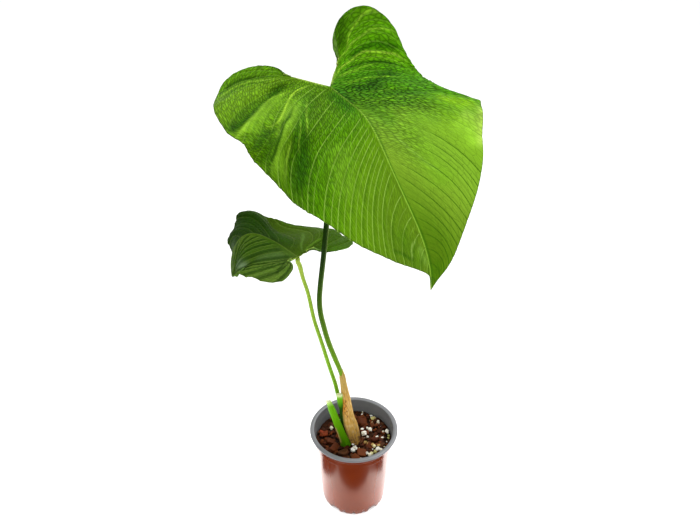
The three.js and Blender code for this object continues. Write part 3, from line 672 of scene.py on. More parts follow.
# Valleys, creases, bulges and single veins of the large leaf. Each is a line over the flat half
# blade, in mm out from the midrib and along it, then its half width, colour, strength and rise.
# Most of the colours are painted shade and painted light: darker in valleys, creases and folds,
# lighter where the blade faces the light. The pale veins among them are the leaf's own colour.
LEFT_MARKS = (
    # valley that runs from the stalk to the kink in the margin, in painted shade, with painted
    # light on its wall
    (((17, -1), (32, 7), (50, 23), (62, 45), (68, 72), (80, 91)), 7, "#3a7a08", 0.65, 0),
    (((52, 32), (61, 54), (66, 68), (75, 84), (86, 97)), 6.5, "#2b6103", 0.75, 0),
    (((30, -1), (52, 14), (72, 31), (86, 60), (92, 83)), 6, "#86b82a", 0.8, 0.6),
    (((61, 33), (72, 55), (79, 74), (84, 86)), 1.3, "#336205", 0.75, -0.4),
    (((69, 45), (79, 65), (87, 82)), 1, "#9acb33", 0.8, 0.3),
    (((76, 55), (82, 70), (87, 86)), 0.9, "#407007", 0.6, -0.3),
    (((49, 20), (62, 45), (66, 62)), 0.8, "#8dc02f", 0.7, 0.3),
    (((28, 5), (44, 23), (53, 41)), 0.9, "#97ca36", 0.7, 0.3),
    (((30, 62), (40, 84), (48, 112)), 11, "#79ad26", 0.55, 0),
    (((22, 140), (16, 161), (10, 182)), 9, "#568510", 0.65, 0),
    # crumpled spot in painted shade, smooth spot in painted light and thin veins by the tip
    (((34, 155), (26, 160), (16, 170)), 1.6, "#3f6d08", 0.8, -0.6),
    (((7, 156), (14, 160), (17, 168)), 0.7, "#a8d060", 0.7, 0.2),
    (((6, 161), (5, 169), (3, 180)), 3, "#82b03c", 0.6, 0),
    # painted shade in the fold beside the wall and in the crumpled pocket that it opens into
    (((76, 20), (88, 26), (96, 33), (103, 44)), 7, "#356605", 0.8, -0.8),
    (((80, 32), (90, 49), (99, 68)), 7, "#386a05", 0.75, -0.8),
    (((45, 8), (56, 16), (69, 24), (82, 45), (88, 58), (99, 74)), 1.7, "#224d01", 0.9, -1.2),
    # raised pale vein, painted light on the bulge between it and the crease, and thin lines of
    # painted shade
    (((39, -9), (55, -4), (70, 3), (88, 11)), 6, "#7dae22", 0.7, 0.9),
    (((85, 8), (98, 16)), 6, "#84b822", 0.65, 0.6),
    (((13, -9), (27, -9), (39, -3), (58, 11), (70, 18), (81, 17)), 0.9, "#afde3b", 0.8, 0.7),
    (((74, 6), (89, 14), (104, 31)), 0.8, "#487a09", 0.6, -0.3),
    (((54, -10), (66, -3), (80, 7)), 0.7, "#4e830d", 0.5, -0.2),
    # crease across the lobe in painted shade, with a painted light edge
    (((21, -19), (37, -20), (55, -11), (73, -3), (88, 1), (100, 4), (114, 8)),
     4.8, "#2a5c01", 0.95, -1.6),
    (((34, -10), (50, -11), (69, -2), (85, 6), (99, 12), (112, 17)), 2, "#98ca34", 0.7, 0.6),
    # lobe: painted light on the crumpled middle, streaks of painted shade and a smooth rounded edge
    (((58, -16), (73, -9), (90, -4)), 4, "#477a0a", 0.6, -0.4),
    (((50, -26), (73, -23), (91, -15)), 8, "#7aaf1d", 0.6, 0),
    (((26, -39), (39, -51), (58, -58), (73, -53)), 3.5, "#639e08", 0.6, 0),
    (((32, -34), (47, -44), (63, -50), (75, -47), (84, -42)), 1.5, "#295801", 0.85, -0.5),
    (((41, -29), (55, -39), (69, -40), (87, -29)), 1.1, "#336605", 0.7, -0.3),
    (((29, -28), (44, -36), (58, -43), (73, -43), (88, -34)), 0.8, "#9acb38", 0.7, 0.2),
    # painted shade beside the stalk
    (((3, 4), (5, 22), (7, 40)), 8, "#2e7000", 0.75, 0),
)
RIGHT_MARKS = (
    # upper lobe: painted shade on the turned edge, thick pale veins, a band of painted light and
    # painted shade in the folds beside it
    (((50, -60), (43, -54), (37, -44), (34, -35)), 6, "#376801", 0.85, 0),
    (((35, -27), (54, -32), (68, -33), (89, -29), (101, -25)), 2.4, "#2b6a01", 0.8, -0.5),
    (((40, -23), (64, -26), (87, -21), (100, -15)), 2.8, "#78bb0d", 0.6, 0.2),
    (((21, -14), (42, -20), (59, -21), (78, -19), (100, -10)), 1.3, "#225500", 0.9, -0.8),
    (((9, -7), (24, -19), (39, -25), (54, -30), (65, -29), (82, -26), (92, -23), (102, -16)),
     0.8, "#bae844", 0.7, 0.5),
    (((19, -18), (28, -28), (38, -33), (47, -38), (57, -40), (66, -42), (77, -41), (94, -37)),
     0.8, "#a9dd3d", 0.55, 0.3),
    (((38, -33), (48, -46), (58, -51), (64, -54), (74, -54), (81, -50)), 0.8, "#9ed234", 0.7, 0.3),
    # deep shade below the lobe, with pale veins that cross it
    (((14, 3), (32, 11), (57, 1), (88, -7)), 7, "#255b00", 0.8, -0.6),
    (((1, 3), (3, 14), (2, 30)), 7, "#286400", 0.85, 0),
    (((6, 13), (28, 22), (60, 27), (90, 36)), 9, "#428406", 0.72, 0),
    (((8, 28), (22, 37), (41, 38), (64, 43)), 7, "#4f9410", 0.55, 0),
    (((13, -9), (24, -12), (37, -14), (50, -17), (62, -17)), 0.9, "#97d831", 0.8, 0.4),
    (((11, -5), (23, -1), (35, -2), (50, -2), (69, 0), (87, 6)), 0.9, "#8dd027", 0.8, 0.4),
    (((15, 10), (32, 18), (63, 19), (86, 28)), 0.9, "#7ac11d", 0.7, 0.3),
    (((11, 20), (27, 29), (54, 32), (76, 43)), 0.9, "#84c624", 0.6, 0.3),
    # painted light and a painted sheen on the bright corner, painted light on the paler middle and
    # painted shade on the darker tip
    (((85, 41), (92, 53), (107, 61)), 7, "#80b400", 0.75, 0),
    (((4, 25), (14, 45), (28, 58)), 12, "#4a8a08", 0.6, 0),
    (((15, 66), (27, 92), (40, 115)), 1, "#a5d45a", 0.5, 0),
    (((36, 55), (52, 56), (66, 66)), 9, "#6ba41c", 0.5, 0),
    (((84, 64), (90, 75), (88, 90)), 8, "#a6d24e", 0.6, 0),
    (((72, 68), (84, 83), (79, 106)), 11, "#94cd2f", 0.7, 0),
    (((108, 62), (99, 78), (84, 106)), 5, "#bde35c", 0.65, 0),
    (((29, 57), (35, 100), (42, 132)), 14, "#72ac1b", 0.5, 0),
    (((0, 196), (5, 186), (12, 182)), 6, "#487a05", 0.6, 0),
)

# The same for the small leaf, whose broad marks are painted shade and painted light too: the half
# that faces away, then the near half
FAR_MARKS = (
    (((8, 2), (19, 13), (42, 24)), 1, "#5c8030", 0.8, 0.3),
    (((9, 1), (20, 3), (38, 5)), 1.2, "#5f8a20", 0.8, 0.3),
    (((41, 67), (24, 61), (12, 47)), 13, "#1d3c04", 0.6, 0),
    (((8, 14), (14, 30), (10, 44)), 8, "#264a06", 0.5, 0),
    (((26, -16), (30, -27), (42, -29)), 9, "#4a780c", 0.7, 0),
)
NEAR_MARKS = (
    (((13, 1), (28, -8), (42, -18)), 1.4, "#1d3a08", 0.85, -0.6),
    (((8, 3), (25, 1), (45, 2), (57, 5)), 1.2, "#24420c", 0.7, -0.4),
    (((8, 8), (22, 14), (42, 24)), 8, "#587440", 0.5, 0),
    (((58, 20), (53, 38), (47, 60)), 6, "#7c9270", 0.7, 0),
    (((32, -20), (24, -12)), 6, "#4d7216", 0.5, 0),
)

# A mark that rises this much is drawn taut, which takes this share of the wrinkles off it, and one
# this wide hides the even veins
TAUT_RISE = 0.6
TAUTNESS = 0.55
BROAD_MARK = 4
VEIN_KINDS = ("pale_veins", "dark_veins", "finer_veins")


def add_marks(shape, marks):
    """Notes how near each point is to each mark, and how the marks raise or crease the blade."""
    shape["marks"] = []
    shape["creases"] = np.zeros_like(shape["share"])
    for line, width, colour, strength, rise in marks:
        near = stroke(shape["flat"], line, width)
        shape["marks"].append((to_linear(colour), strength * near))
        shape["creases"] += rise * near
        if rise >= TAUT_RISE:
            for key in ("fine_net", "coarse_net", "roughness"):
                shape[key] = shape[key] * (1 - TAUTNESS * near)
        if width >= BROAD_MARK:
            for key in ("pale_veins", "finer_veins"):
                shape[key] = shape[key] * (1 - strength * near)


# The broad wrinkles of the mesh are this many times the size of the fine ones that the skin draws.
# The left half lies this many cells further across the net, so that the halves differ.
BROAD_WRINKLES = 1.8
OTHER_HALF = 400
NET_SEED = 3


def set_wrinkles(shape, cell_long, cell_wide, lean):
    """Broad wrinkles for the mesh, and the place in the fine net that the skin adds. A cell is
    cell_long mm along the veins and cell_wide mm across them."""
    slanted = shape["along"] + lean * shape["across"]
    shape["cells"] = wrinkle_cells(slanted, shape["across"], BROAD_WRINKLES * cell_long,
                                   BROAD_WRINKLES * cell_wide, NET_SEED + shape["side"])
    shape["net_along"] = slanted / cell_long
    shape["net_across"] = shape["across"] / cell_wide + (OTHER_HALF if shape["side"] < 0 else 0)


def wrinkle_large(shape):
    """Crumpling that is strong beside the stalk and weak near the tip. On the right it follows
    the veins, and on the left it crosses them like a ladder. Distances run along the margin from
    the tip, in mm, and shares run from the rib to the margin."""
    left = shape["side"] < 0
    distance, share = shape["distance"], shape["share"]
    in_lobe = smoothstep(distance, 115, 160)
    if left:
        set_wrinkles(shape, 2.5, 5, 0.6)
        fine = 0.6 + 0.6 * smoothstep(distance, 75, 140)
        between = 0.35 + 0.45 * smoothstep(distance, 55, 85)
        shape["quilt"] = 0.5
        shape["coarse_net"] = np.full_like(share, 0.25)
        shape["pale_veins"] = 0.7 - 0.45 * smoothstep(distance, 150, 200)
        shape["dark_veins"] = np.zeros_like(share)
    else:
        set_wrinkles(shape, 6.6, 2.1, 0.2)
        by_rib = 1 - smoothstep(share, 0.25, 0.55)
        by_corner = smoothstep(share, 0.55, 0.85) * (1 - smoothstep(distance, 160, 200))
        by_stalk = smoothstep(distance, 105, 140) * (1 - smoothstep(distance, 195, 230))
        fine = 0.25 + 0.9 * by_rib * smoothstep(distance, 45, 90)
        fine = fine * (1 - in_lobe) + in_lobe * (1.4 - 0.4 * smoothstep(distance, 225, 275))
        fine = fine * (1 - 0.6 * by_corner)
        fine = fine + 0.75 * by_stalk * (1 - 0.85 * smoothstep(share, 0.45, 0.75))
        between = 0.5
        out_from_rib = share + 0.3 * (1 - smoothstep(distance, 50, 80))
        shape["quilt"] = 0.25 + 0.35 * in_lobe
        shape["coarse_net"] = (1 - in_lobe) * (0.15 + 0.3 * smoothstep(share, 0.25, 0.5))
        shape["pale_veins"] = 0.18 * in_lobe
        # painted shade in the sunken side veins of the right half, out from the rib and outside the
        # lobe
        shape["dark_veins"] = 0.9 * (1 - in_lobe) * smoothstep(out_from_rib, 0.3, 0.6)
    spread = smoothstep(shape["finer_gap"], *FINER_GAPS)
    shape["finer_veins"] = between * spread * (1 - 0.7 * in_lobe)
    shape["fine_net"] = fine
    shape["roughness"] = 0.9 * fine
    add_marks(shape, LEFT_MARKS if left else RIGHT_MARKS)


def wrinkle_small(shape):
    """Even crumpling, with stronger pale and finer veins on the near half."""
    set_wrinkles(shape, 3.4, 1.6, 0.4)
    far = shape["side"] < 0
    strengths = dict(roughness=0.8, quilt=0.7, coarse_net=0.2, fine_net=0.6, dark_veins=0,
                     finer_veins=0.3 if far else 0.6, pale_veins=0.25 if far else 0.55)
    for key, strength in strengths.items():
        shape[key] = np.full_like(shape["share"], strength)
    add_marks(shape, FAR_MARKS if far else NEAR_MARKS)


def fade_veins(shape, fade):
    """Thins out all the veins that the skin draws, beside the ribs and where they crowd."""
    for key in VEIN_KINDS:
        shape[key] = shape[key] * fade


def paint_large(shape):
    """Colours of the upper and under face of a half of the large blade."""
    left = shape["side"] < 0
    distance, along = shape["distance"], shape["along"]
    colour = colours_through(distance, LEFT_GREENS if left else RIGHT_GREENS)
    for tone, strength in shape["marks"]:
        colour = mix(colour, tone, strength)
    # shade in the net between the broad wrinkles
    sunk = 1 - smoothstep(shape["cells"], 0.1, 0.8)
    colour = colour * (1 - 0.25 * np.clip(shape["roughness"], 0, 1.4) * sunk)[..., None]
    fade = smoothstep(shape["share"], 0.01, 0.08) * smoothstep(shape["gap"], *FINER_GAPS)
    fade_veins(shape, fade)
    # painted shade along one side of each side vein on the left half, and beside the midrib near
    # the tip on the right half
    if left:
        shade = 0.4 * bell(shape["from_vein"] + 1.2, 0.9) * fade
    else:
        shade = 0.8 * bell(along - 1.7, 1) * (1 - smoothstep(distance, 85, 115))
    colour = mix(colour, LARGE_VEIN_SHADE, shade)
    # bright midrib, bare yellow ribs at the notch and a thin dry margin
    beside_notch = smoothstep(-shape["flat"][..., 1], 0, 5)
    colour = mix(colour, RIB_GREEN, 0.8 * bell(along, 0.45) * (1 - beside_notch))
    colour = mix(colour, RIB_YELLOW, 0.85 * bell(along, 1.3 if left else 2.6) * beside_notch)
    dry = 0.6 * (1 - smoothstep(shape["to_margin"], 0.2, 1.2))
    colour = mix(colour, MARGIN_BROWN, dry * (1 - smoothstep(distance, 290, 350)))
    return colour, mix(LARGE_UNDERSIDE, RIB_YELLOW, bell(along, 0.6))


def paint_small(shape):
    """Colours of the upper and under face of a half of the small blade."""
    far = shape["side"] < 0
    colour = colours_through(shape["distance"], SMALL_FAR_GREENS if far else SMALL_NEAR_GREENS)
    fade = smoothstep(shape["share"], 0.02, 0.12)
    fade_veins(shape, fade)
    for tone, strength in shape["marks"]:
        colour = mix(colour, tone, strength)
    if not far:
        # painted shade in the grooves along the veins of the near half
        gap = shape["gap"]
        groove = bell(shape["from_vein"] + 0.25 * gap, 0.2 * gap + 0.3)
        colour = mix(colour, SMALL_GROOVE_SHADE, 0.75 * groove * fade)
    on_rib = bell(shape["along"], 0.6)
    colour = mix(colour, RIB_YELLOW, 0.12 * on_rib)
    dry = 0.6 * (1 - smoothstep(shape["to_margin"], 0.2, 1))
    colour = mix(colour, MARGIN_BROWN, dry)
    return colour, mix(SMALL_UNDERSIDE, RIB_YELLOW, on_rib)


# What the leaf skin draws. In cells, whose sizes in mm set_wrinkles gives: half the width of the
# grooves in the fine and coarse nets, and how far from a groove a wrinkle's lit crest begins. Per
# fine cell: the coarse cells and the patches of mottle. In mm from the middle of a vein: its core
# and edges.
FINE_GROOVE = 0.22
COARSE_GROOVE = 0.07
CREST = (0.28, 0.45)
COARSE_NET = 0.6
MOTTLE = 0.3
VEIN_CORE = 0.1
SIDE_VEIN_EDGE = 0.6
FINER_VEIN_EDGE = 0.5
# How dark and light the mottle, the grooves and the crests make the pigment. The mottle is the
# leaf's own uneven tone; the darkening in the grooves is painted shade and the lightening on the
# crests a painted highlight.
MOTTLE_TONES = (0.82, 1.18)
GROOVE_SHADE_TONES = (1.08, 0.3)
CREST_HIGHLIGHT_TONES = (0.98, 1.16)
# The relief in mm, and the shares of it that grooves, coarse grooves and veins take
NET_DEPTH = 0.8
FINE_SHARE = 0.5
COARSE_SHARE = 0.6
VEIN_SHARE = 0.4
# Between which values of the mottle a vein goes from faint to full, and how faint that is
VEIN_BREAKS = (0.25, 0.55)
FAINT_VEIN = 0.45


def waxy_leaf(name, ior, roughness, vein_colour, vein_shade_colour):
    """Living leaf with a thin waxy skin: a fine net of sunken wrinkles and thread-like veins,
    which break up its weak gloss."""
    material, tree, shader = new_material(name, IOR=ior, Specular_IOR_Level=0.03)
    net_along, net_across, coarse_strength = parts_of(tree, "net_place")
    to_vein, to_finer, finer_strength = parts_of(tree, "vein_place")
    fine_strength, pale_strength, vein_shade_strength = parts_of(tree, "strengths")
    pigment = add_node(tree, "ShaderNodeAttribute", attribute_name="pigment")
    where = add_node(tree, "ShaderNodeCombineXYZ", {"X": net_along, "Y": net_across})
    mottle = add_node(tree, "ShaderNodeTexNoise", {
        "Vector": where, "Scale": MOTTLE, "Detail": 4.0, "Roughness": 0.6})
    colour = tint(tree, pigment, mottle, *MOTTLE_TONES)

    # one wrinkle is one cell of the fine net, and the coarse net joins about three of them
    fine, coarse = (
        add_node(tree, "ShaderNodeTexVoronoi", {"Vector": where, "Scale": scale},
                 feature="DISTANCE_TO_EDGE", voronoi_dimensions="2D")
        for scale in (1.0, COARSE_NET))
    groove = add_node(tree, "ShaderNodeMapRange", {
        "Value": fine, "From Max": FINE_GROOVE, "To Min": fine_strength, "To Max": 0.0}, **EASED)
    thread = add_node(tree, "ShaderNodeMapRange", {
        "Value": coarse, "From Max": COARSE_GROOVE, "To Min": coarse_strength, "To Max": 0.0},
        **EASED)
    crest = add_node(tree, "ShaderNodeMapRange", {
        "Value": fine, "From Min": CREST[0], "From Max": CREST[1], "To Min": 0.0,
        "To Max": fine_strength}, **EASED)
    groove = add_node(tree, "ShaderNodeMath", {0: groove, 1: FINE_SHARE}, **TIMES)
    thread = add_node(tree, "ShaderNodeMath", {0: thread, 1: COARSE_SHARE}, **TIMES)
    sunk = add_node(tree, "ShaderNodeMath", {0: groove, 1: thread}, operation="MAXIMUM")
    # painted shade in the grooves of both nets, and a painted highlight on each wrinkle's crest
    colour = tint(tree, colour, sunk, *GROOVE_SHADE_TONES)
    colour = tint(tree, colour, crest, *CREST_HIGHLIGHT_TONES)

    # veins, broken here and there by the mottle
    side_vein = add_node(tree, "ShaderNodeMapRange", {
        "Value": to_vein, "From Min": VEIN_CORE, "From Max": SIDE_VEIN_EDGE, "To Min": 1.0,
        "To Max": 0.0}, **EASED)
    finer_vein = add_node(tree, "ShaderNodeMapRange", {
        "Value": to_finer, "From Min": VEIN_CORE, "From Max": FINER_VEIN_EDGE,
        "To Min": finer_strength, "To Max": 0.0}, **EASED)
    vein = add_node(tree, "ShaderNodeMath", {0: side_vein, 1: finer_vein}, operation="MAXIMUM")
    broken = add_node(tree, "ShaderNodeMapRange", {
        "Value": mottle, "From Min": VEIN_BREAKS[0], "From Max": VEIN_BREAKS[1],
        "To Min": FAINT_VEIN}, **EASED)
    vein = add_node(tree, "ShaderNodeMath", {0: vein, 1: broken}, **TIMES)
    # painted shade in the sunken veins first, then the pale veins in their own colour
    for tone, strength in ((vein_shade_colour, vein_shade_strength), (vein_colour, pale_strength)):
        shown = add_node(tree, "ShaderNodeMath", {0: vein, 1: strength}, **TIMES)
        colour = add_node(tree, "ShaderNodeMix", {0: shown, 6: colour, 7: (*tone, 1.0)}, **COLOURS)
    gloss = add_node(tree, "ShaderNodeMapRange", {
        "Value": mottle, "To Min": roughness - 0.06, "To Max": roughness + 0.06}, **EASED)

    # the veins and wrinkles stand proud of the net between them
    raised = add_node(tree, "ShaderNodeMath", {0: vein, 1: VEIN_SHARE}, **TIMES)
    height = add_node(tree, "ShaderNodeMath", {0: raised, 1: sunk}, operation="SUBTRACT")
    dress(tree, shader, colour, gloss, (height, 0.9, NET_DEPTH))
    return material


large_blade = build_blade("large_leaf_blade", LARGE_LEAF, paint_large, wrinkle_large)
small_blade = build_blade("small_leaf_blade", SMALL_LEAF, paint_small, wrinkle_small)
bright_skin = waxy_leaf("bright waxy leaf", ior=1.4, roughness=0.5, vein_colour=LARGE_VEIN,
                        vein_shade_colour=LARGE_VEIN_SHADE)
dark_skin = waxy_leaf("dark waxy leaf", ior=1.28, roughness=0.45, vein_colour=SMALL_VEIN,
                      vein_shade_colour=SMALL_GROOVE_SHADE)
place(large_blade, bright_skin, "leaf_large", "leaf_blade_large")
place(small_blade, dark_skin, "leaf_small", "leaf_blade_small")


# Stalks
STEPS_BETWEEN_KNOTS = 24


def stalk_line(path, steps):
    """Places and directions at even steps along a smooth path."""
    knots = np.array(path, float)
    knots = np.concatenate([[2 * knots[0] - knots[1]], knots, [2 * knots[-1] - knots[-2]]])
    fine = []
    for i in range(1, len(knots) - 2):
        p0, p1, p2, p3 = knots[i - 1:i + 3]
        d0, d1, d2 = (math.sqrt(np.linalg.norm(b - a)) for a, b in ((p0, p1), (p1, p2), (p2, p3)))
        t1 = ((p1 - p0) / d0 - (p2 - p0) / (d0 + d1) + (p2 - p1) / d1) * d1
        t2 = ((p2 - p1) / d1 - (p3 - p1) / (d1 + d2) + (p3 - p2) / d2) * d1
        w = np.linspace(0, 1, STEPS_BETWEEN_KNOTS, endpoint=i == len(knots) - 3)[:, None]
        fine.append(p1 + t1 * w + (3 * p2 - 3 * p1 - 2 * t1 - t2) * w ** 2
                    + (2 * p1 - 2 * p2 + t1 + t2) * w ** 3)
    fine = np.concatenate(fine)
    length = np.concatenate([[0], np.cumsum(np.linalg.norm(np.diff(fine, axis=0), axis=1))])
    even = np.linspace(0, length[-1], steps + 1)
    centre = np.stack([np.interp(even, length, fine[:, k]) for k in range(3)], axis=-1)
    return centre, unit(np.gradient(centre, axis=0)), length[-1]


def tube(path, radii, sides, steps, flatness, bow, shape_of):
    """Rings of points round a path, with each point's place along it and angle round it.
    shape_of(t, angle) grows or shrinks the radius."""
    centre, along, length = stalk_line(path, steps)
    across = unit(np.array([1.0, 0, 0]) - along * along[:, :1])
    back = np.cross(along, across)
    t = np.linspace(0, 1, steps + 1)[:, None]
    angle = np.linspace(0, 2 * np.pi, sides, endpoint=False)[None, :]
    radius = profile(*zip(*radii))(t) * shape_of(t, angle)
    side = np.cos(angle)
    rings = (centre[:, None] + across[:, None] * (radius * side)[..., None]
             + back[:, None] * (radius * flatness * np.sin(angle) + bow * side ** 2)[..., None])
    return rings, np.broadcast_to(t, radius.shape), np.broadcast_to(angle, radius.shape), length


def ring_faces(steps, sides, base=0, closed=True):
    """The faces of a tube of rings whose points are numbered from base on."""
    faces = []
    for i in range(steps):
        for j in range(sides):
            a, b = base + i * sides + j, base + i * sides + (j + 1) % sides
            faces.append([a, b, b + sides, a + sides])
    if closed:
        faces.append([base + j for j in reversed(range(sides))])
        faces.append([base + steps * sides + j for j in range(sides)])
    return faces


LARGE_STALK_PATH = ((1, -4, 78), (-0.5, -5, 98), (-2, -5.5, 112), (-5, -5.5, 127),
                    (-7.2, -5.5, 146), (-9.5, -5, 162), (-11.8, -4.5, 181), (-14.5, -4, 194),
                    (-20.2, -4.5, 213), (-26.6, -5, 235), (-31.1, -5.2, 256), (-34.1, -5.2, 274),
                    (-34.7, -5.2, 289), (-33.7, -5.5, 304), (-30.8, -8, 331), (-28, -10.5, 357),
                    (-25.9, -10.5, 381), (-23.5, -4, 437), (-22.3, 3.5, 488))
LARGE_STALK_RADII = ((0, 4.5), (0.05, 5.2), (0.09, 5), (0.14, 3.7), (0.19, 2.6), (0.24, 2.3),
                     (0.275, 2.5), (0.32, 2.7), (0.7, 2.6), (0.94, 2.7), (0.985, 3.4), (1, 3.2))
SMALL_STALK_PATH = ((-6, 3.5, 78), (-10, 4.5, 110), (-14.5, 4.8, 136), (-18.1, 4, 155),
                    (-20.5, 3, 170), (-26.8, 1, 198), (-33.7, -1.5, 231), (-40.7, -3.5, 263),
                    (-45.7, -5, 297), (-50.1, -6.5, 317), (-52.8, -8, 333))
SMALL_STALK_RADII = ((0, 2.7), (0.2, 2.4), (0.5, 2.1), (0.9, 1.9), (0.97, 2.3), (1, 2.2))
STALK_GAP_TO_BLADE = 0.4
# how far below the blade's keel the last two points of a stalk's path lie
STALK_END = (5, 0.2)


def path_to_blade(path, leaf):
    """The stalk's path, turned square to the blade's underside at its end."""
    point, _, down = (v[0] for v in midrib_frame(leaf)(np.zeros(1)))
    end = point + down * (BLADE_THICKNESS / 2 + leaf["rib_depth"] + STALK_GAP_TO_BLADE)
    return (*path, *(tuple(end + down * back) for back in STALK_END))


def fresh_stalk():
    """Living petiole: smooth, slightly glossy skin with fine lengthwise fibres."""
    material, tree, shader = new_material("petiole skin", IOR=1.33, Specular_IOR_Level=0.06)
    # fibres 0.4 mm wide on the thin stalks and 0.9 mm on the cut ones, and many times as long
    fibres = fibres_along(tree, 1.4, 3.0, 0.6)
    pigment = add_node(tree, "ShaderNodeAttribute", attribute_name="pigment")
    gloss = add_node(tree, "ShaderNodeMapRange", {"Value": fibres, "To Min": 0.34, "To Max": 0.5})
    dress(tree, shader, tint(tree, pigment, fibres, 0.8, 1.2), gloss, (fibres, 0.3, 0.3))
    return material


def skin_place(angle, t, length, steps_out, step_up):
    """Where the fibres of a stalk are drawn: its radius is steps_out steps, whatever its size, and
    a step up its length is step_up mm."""
    steps = np.cos(angle) * steps_out, np.sin(angle) * steps_out, t * length / step_up
    return {"skin_place": np.stack(steps, axis=-1).reshape(-1, 3)}


def stalk_ribs(t, angle):
    """A petiole's faint lengthwise ribs, which turn a little on their way up."""
    return 1 + 0.025 * np.cos(5 * angle + 3 * t) + 0.01 * np.cos(11 * angle)


EDGE_FADE = 0.04


def build_stalk(name, path, radii, stops, sides=28, steps=150, flatness=1, bow=0, lit_side=None,
                dry_edge=None):
    """A stalk coloured by stops up its length. lit_side is the colour and strength of a side in
    painted light, and dry_edge the colour of a dried edge and where along the stalk it starts and
    ends."""
    rings, t, angle, length = tube(path, radii, sides, steps, flatness, bow, stalk_ribs)
    pigment = colours_through(t, stops)
    if lit_side is not None:
        # painted light on one side of the stalk
        colour, strength = lit_side
        pigment = mix(pigment, to_linear(colour), strength * np.maximum(0, np.cos(angle)) ** 3)
    if dry_edge is not None:
        colour, start, end = dry_edge
        near = smoothstep(-np.cos(angle), 0.4, 0.85)
        near = near * smoothstep(t, start - EDGE_FADE, start + EDGE_FADE)
        near = near * (1 - smoothstep(t, end - EDGE_FADE, end + EDGE_FADE))
        pigment = mix(pigment, to_linear(colour), near)
    return make_mesh(name, rings.reshape(-1, 3), ring_faces(steps, sides),
                     pigment.reshape(-1, 3), skin_place(angle, t, length, 4, 12))


# the large stalk's upper part is painted dark as the shadow of the blade above it
large_stalk = build_stalk(
    "large_leaf_stalk", path_to_blade(LARGE_STALK_PATH, LARGE_LEAF), LARGE_STALK_RADII,
    ((0, "#5f8412"), (0.2, "#6d9016"), (0.33, "#567f10"), (0.48, "#355608"), (0.62, "#142c02"),
     (0.9, "#183202"), (0.97, "#5f8424"), (1, "#8aa640")),
    lit_side=("#6e8638", 0.8))
small_stalk = build_stalk(
    "small_leaf_stalk", path_to_blade(SMALL_STALK_PATH, SMALL_LEAF), SMALL_STALK_RADII,
    ((0, "#548c10"), (0.2, "#5c9414"), (0.5, "#74a022"), (0.85, "#88a834"), (1, "#a0b448")),
    steps=110, lit_side=("#9cba50", 0.4))
stalk_skin = fresh_stalk()
place(large_stalk, stalk_skin, "stalk_dark", "leaf_stalk_large")
place(small_stalk, stalk_skin, "stalk_light", "leaf_stalk_small")

cut_front = build_stalk(
    "front_cut_stalk",
    ((-9, -11.5, 78), (-9.5, -11.5, 90), (-12, -12.3, 101), (-17.2, -13, 120),
     (-22.8, -13.2, 141), (-28.2, -13, 159.5)),
    ((0, 5.5), (0.15, 5.7), (0.28, 4.9), (0.4, 4.5), (0.53, 4.3), (0.7, 4), (0.8, 4.1),
     (0.9, 3.4), (1, 2.6)),
    ((0, "#458004"), (0.3, "#528e04"), (0.9, "#5c9a08"), (0.97, "#a9c86a"), (1, "#e6efc0")),
    sides=36, steps=70, flatness=0.34, bow=1.2, dry_edge=("#b39a5c", 0.2, 0.5))
# painted shadow darkens the back stalk below its green top and pale cut end
cut_back = build_stalk(
    "back_cut_stalk",
    ((-8.8, -0.8, 78), (-10.9, -2.5, 100), (-13.3, -5.8, 118), (-14.2, -8.2, 132),
     (-14.1, -9.6, 143), (-15.3, -10.1, 156), (-15.8, -10.2, 166.5)),
    ((0, 3), (0.2, 2.2), (0.5, 1.6), (0.72, 1.8), (0.85, 3), (1, 3.4)),
    ((0, "#16300a"), (0.76, "#1f4408"), (0.87, "#4f8c0a"), (0.95, "#68a414"), (1, "#e0e8b0")),
    sides=28, steps=50, flatness=0.5, bow=0.4)
place(cut_front, stalk_skin, "cut_stalk", "cut_stalk_front")
place(cut_back, stalk_skin, "cut_stalk", "cut_stalk_back")

# Dry sheath round the foot of the large stalk
SHEATH_PATH = ((1.6, -4, 78), (0, -5, 98), (-2.6, -5.5, 112), (-5.7, -5.5, 127),
               (-7.9, -5.5, 146), (-9.5, -5, 162), (-11.8, -4.5, 181), (-12.8, -4.1, 190),
               (-12.7, -3.6, 197))
SHEATH_RADII = ((0, 5.6), (0.12, 6.4), (0.2, 7.3), (0.3, 7.4), (0.45, 6), (0.56, 5.4),
                (0.65, 4.9), (0.74, 4.2), (0.84, 3.5), (0.91, 3.3), (0.95, 2.2), (1, 0.4))
SHEATH_SIDES = 72
SHEATH_STEPS = 150
SHEATH_COLOURS = dict(tan="#c59a4a", deep="#8f681c", pale="#dcc084", top="#a08a44",
                      speck="#5a3210", torn="#d08a2c", crack="#5b2508")
# Where the sheath is torn: the share of its length, the degrees round it, and how far that
# reaches, as a share and in radians. Then where the crack beside the tear lies, and its size.
TEAR = (0.6, 215)
TEAR_REACH = (0.09, 0.7)
CRACK_AT = 0.565
CRACK_REACH = 0.1
CRACK_WIDTH = 0.12


def sheath_creases(t, angle):
    """Lengthwise creases that wind round the sheath as it dried."""
    twist = angle + 1.5 * t
    return (1 + 0.03 * np.cos(7 * twist) + 0.022 * np.cos(13 * twist + 9 * t)
            + 0.015 * np.sin(23 * angle - 20 * t) * np.sin(40 * t + 3 * angle))


